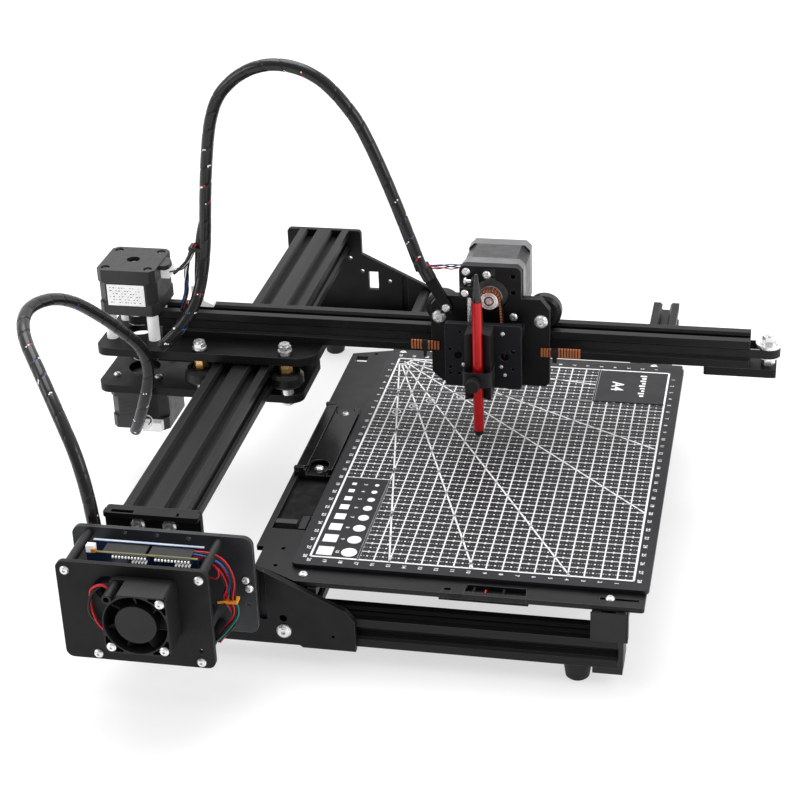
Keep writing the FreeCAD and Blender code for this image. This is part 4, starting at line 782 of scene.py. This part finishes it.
# each clamped end: inner and outer ribbed runs, the tie between them, mid height and the tie's low end
BELT_CLAMPS = (((-58.8, -50.0), (-70.4, -62.2), (-62.2, -58.8), 60.4, 51.4),
               ((19.0, 26.6), (30.8, 46.2), (26.6, 30.8), 59.4, 52.2))
INNER_Y, OUTER_Y, RIB_STEP = 42.2, 42.6, 2.0
ends = Shape()
for inner, outer, tie, zc, low in BELT_CLAMPS:
    for (a, b), y, h in ((inner, INNER_Y, 3.1), (outer, OUTER_Y, 3.3)):
        ends.box(a, b, y + 0.5, y + 1.5, zc - h + 0.3, zc + h - 0.3, 1)
        ribs = round((b - a) / RIB_STEP)
        for i in range(ribs):
            x = a + (i + 0.5) * (b - a) / ribs
            ends.box(x - 0.62, x + 0.62, y - 0.4, y + 1.2, zc - h, zc + h)
    ends.box(tie[0], tie[1], 41.8, 43.7, zc - 3.5, zc + 3.5, 1)
    ends.box(tie[0] + 0.6, tie[1] - 0.6, 42.0, 43.4, low, zc, 1)
    ends.box(tie[0] - 0.5, tie[1] + 0.5, 41.3, 43.0, zc - 1.6, zc + 1.9, 1)
ends.done("belt_clamps", ["copper_belt", "black_wire"], "carriage", "belt_ends", bevel=0.15,
          replaces=["belt_ends"])

# ---------------------------------------------------------------- loose leads
LEAD_SLEEVE = [(-216.6, 57, 138), (-219.9, 57, 127.8), (-221.7, 57.5, 113.1), (-224.2, 59, 95.1),
               (-226.0, 62, 80)]
DROP_LEADS = [(-222, 55, 122), (-226.7, 55, 114.8), (-230.2, 56, 107.7), (-232.3, 57, 94.7),
              (-232.8, 57, 84.7), (-238.2, 56, 67.2), (-242.6, 50, 50.5), (-254.5, 42, 38.4)]
BRANCH = [(-222, 52, 119), (-224.8, 50, 117.8), (-228.4, 50, 109.8), (-238.6, 50, 100.9)]
LOW_MOTOR_LEADS = [(-266, 26, -4), (-262.0, 31, -3), (-260.5, 35, -9), (-263.5, 36.5, -14.5)]
HIGH_MOTOR_LEADS = [(-224, 56, 118), (-231, 53, 104), (-242, 58, 100), (-246.5, 60, 97.5)]
leads = Shape()
leads.tube(route(LEAD_SLEEVE), 2.7, 14, 0)
bundle(leads, DROP_LEADS, 1.15, [0, 1, 0, 2, 0, 3], 0.55, 1.2)
leads.tube(route(BRANCH), 1.1, 10, 0)
bundle(leads, LOW_MOTOR_LEADS, 1.5, [2, 0, 2, 0], 0.5, 0.8)
bundle(leads, HIGH_MOTOR_LEADS, 0.9, [0, 1, 0, 2], 0.5, 0.4)
TIE_X, TIE_Y, TIE_Z = -222.0, 56.0, 118.5
leads.box(TIE_X - 5.2, TIE_X + 5.2, TIE_Y - 4.2, TIE_Y + 4.2, TIE_Z - 1.3, TIE_Z + 1.3, 0,
          Matrix.Rotation(0.15, 3, "Y"))
leads.done("gantry_leads", ["wrap", "blue_wire", "white_wire", "red_wire"], "gantry", "white_connectors",
           bevel=0.1)

PEN_MOTOR_LEADS = [(-59.5, 38.5, 121), (-54, 44.5, 117.5), (-47, 50, 116), (-40, 56, 113.5),
                   (-35.0, 64, 111)]
SLEEVE_TOP, SLEEVE_LOW = Vector((-60.6, 42.4, 119.6)), Vector((-55.6, 42.4, 110.0))
arm = Shape()
bundle(arm, PEN_MOTOR_LEADS, 1.3, [0, 2, 1, 2], 0.42, 0.5)
arm.tube([SLEEVE_TOP.lerp(SLEEVE_LOW, i / 8) for i in range(9)], 4.7, 20, 4)
arm.done("motor_leads", ["red_wire", "blue_wire", "black_wire", "green_wire", "wrap"], "carriage",
         "cable_arm")

# ---------------------------------------------------------------- pulley face and slide screws
PULLEY_FACE = (PULLEY_X, 34.62, PULLEY_Z)
shaft = Shape()
shaft.turned([(2.45, 0), (3.3, 0), (3.3, 0.12), (2.45, 0.12)], PULLEY_FACE, -Y, 32, 0)
# dark ring: painted shade in the groove round the pulley face
shaft.turned([(4.7, 0), (4.95, 0), (4.95, 0.06), (4.7, 0.06)], PULLEY_FACE, -Y, 40, 1)
shaft.turned([(0, 0), (2.3, 0), (2.2, 0.5), (0, 0.5)], (PULLEY_X, 34.7, PULLEY_Z), -Y, 24, 2)
shaft.done("pulley_face", ["black_wire", "ink_and_groove_shade", "zinc"], "z_pulley_body", "z_pulley")

SLIDE_FACE = 27.3
marks = Shape()
for x, z, r in ((-31.0, 54.5, 1.5), (-4.3, 79.0, 1.5), (-5.5, 54.5, 1.3), (-3.0, 48.5, 1.3)):
    screw(marks, (x, SLIDE_FACE, z), -Y, r, 0.7)
marks.done("slide_screws", ["zinc"], "tool_slide", "slide_plate")

# ---------------------------------------------------------------- bed window, front wires, rail cover
tab = Shape()
tab.box(-133.1, -118.9, -100.6, -95.4, -6.4, -1.9)
tab.box(-117.5, -112.5, -104.0, -88.0, -6.4, -3.2, 1)
tab.done("window_tab", ["tab", "nylon"], "base", "bed_pocket", bevel=0.3)
front = Shape()
front.box(-14.4, 38.4, -164.5, -161.2, -6.5, -3.02)
# the block under the channel and the two cross pieces take the near-black of painted shade
front.box(-15.0, 39.5, -164.0, -152.5, -8.4, -6.5, 1)
for x in (5.0, 23.0):
    front.box(x, x + 1.4, -160.6, -154.0, -6.6, -4.0, 1)
front.tube([Vector((12.6, -160.4 + 0.9 * i, -5.9 + 0.12 * i)) for i in range(7)], 0.55, 8, 2)
front.tube([Vector((1.6 + 0.7 * i, -158.4 + 0.7 * math.sin(2.1 * i), -5.6)) for i in range(7)], 0.35, 8, 3)
front.done("front_wire_channel", ["bed", "pit", "red_wire", "white_wire"], "base", "bed_plate", bevel=0.15)
COVER_TOP, COVER_LOW = -6.9, -27.2
cap = Shape()
cap.box(77.0, 99.0, -166.7, -165.9, COVER_LOW, COVER_TOP)
cap.box(98.6, 99.4, -166.7, -160.0, COVER_LOW, COVER_TOP)
screw(cap, (92.0, -161.0, -6.6), Z, 2.2, 0.9, 1)
cap.done("rail_end_cover", ["nylon", "zinc"], "base", "beam_end_caps", bevel=0.3)

# ---------------------------------------------------------------- floor, light, camera
FLOOR_HALF, FLOOR_GLOW = 6, 0.62
floor = bpy.data.meshes.new("floor")
corners = [(sx * FLOOR_HALF, sy * FLOOR_HALF, 0) for sx, sy in ((-1, -1), (1, -1), (1, 1), (-1, 1))]
floor.from_pydata(corners, [], [(0, 1, 2, 3)])
backdrop = bpy.data.objects.new("floor", floor)
bpy.context.scene.collection.objects.link(backdrop)
paper = Paint("paper", rough=0.7)
paper.colour(paper.noise(3), (0.42, 0.42, 0.42), (0.44, 0.44, 0.44))
paper.out.inputs["Emission Color"].default_value = (1, 1, 1, 1)
paper.out.inputs["Emission Strength"].default_value = FLOOR_GLOW
floor.materials.append(paper.mat)

# the sky is brighter towards the machine's rear
world = bpy.data.worlds.new("studio")
bpy.context.scene.world = world
world.use_nodes = True
sky = world.node_tree
sky_coords = sky.nodes.new("ShaderNodeTexCoord")
sky_split = sky.nodes.new("ShaderNodeSeparateXYZ")
sky.links.new(sky_coords.outputs["Generated"], sky_split.inputs[0])
sky_range = sky.nodes.new("ShaderNodeMapRange")
for key, value in {"From Min": -0.9, "From Max": 0.6, "To Min": 0.3, "To Max": 1.1}.items():
    sky_range.inputs[key].default_value = value
sky.links.new(sky_split.outputs["Y"], sky_range.inputs["Value"])
sky.links.new(sky_range.outputs[0], sky.nodes["Background"].inputs["Strength"])
sky.nodes["Background"].inputs["Color"].default_value = (1.0, 1.0, 1.0, 1)

LAMP_TARGET = Vector((0, 0, 0.05))


def lamp(name, place, size, power):
    """A square area light at a place in metres, facing the machine."""
    light = bpy.data.lights.new(name, "AREA")
    light.energy, light.size = power, size
    obj = bpy.data.objects.new(name, light)
    obj.location = place
    obj.rotation_euler = (LAMP_TARGET - Vector(place)).to_track_quat("-Z", "Y").to_euler()
    bpy.context.scene.collection.objects.link(obj)


lamp("softbox_top", (-0.3, 0.5, 1.7), 1.3, 22)
lamp("softbox_right", (1.6, -0.4, 1.1), 0.9, 9)
lamp("softbox_left", (-1.5, -0.7, 0.9), 0.8, 6)

CAMERA_PLACE = at(177.59, -1119.09, 631.05)
CAMERA_TILT, CAMERA_ROLL, CAMERA_HEADING = (math.radians(d) for d in (62.6604, 2.0397, 11.4261))
camera = bpy.data.cameras.new("camera")
camera.lens, camera.sensor_width = 86.5, 36.0
camera.clip_start, camera.clip_end = 0.05, 50
eye = bpy.data.objects.new("camera", camera)
turn = Euler((CAMERA_TILT, CAMERA_ROLL, CAMERA_HEADING), "XYZ").to_matrix().to_4x4()
eye.matrix_world = Matrix.Translation(CAMERA_PLACE) @ turn
bpy.context.scene.collection.objects.link(eye)
bpy.context.scene.camera = eye
bpy.context.scene.view_settings.view_transform = "Standard"
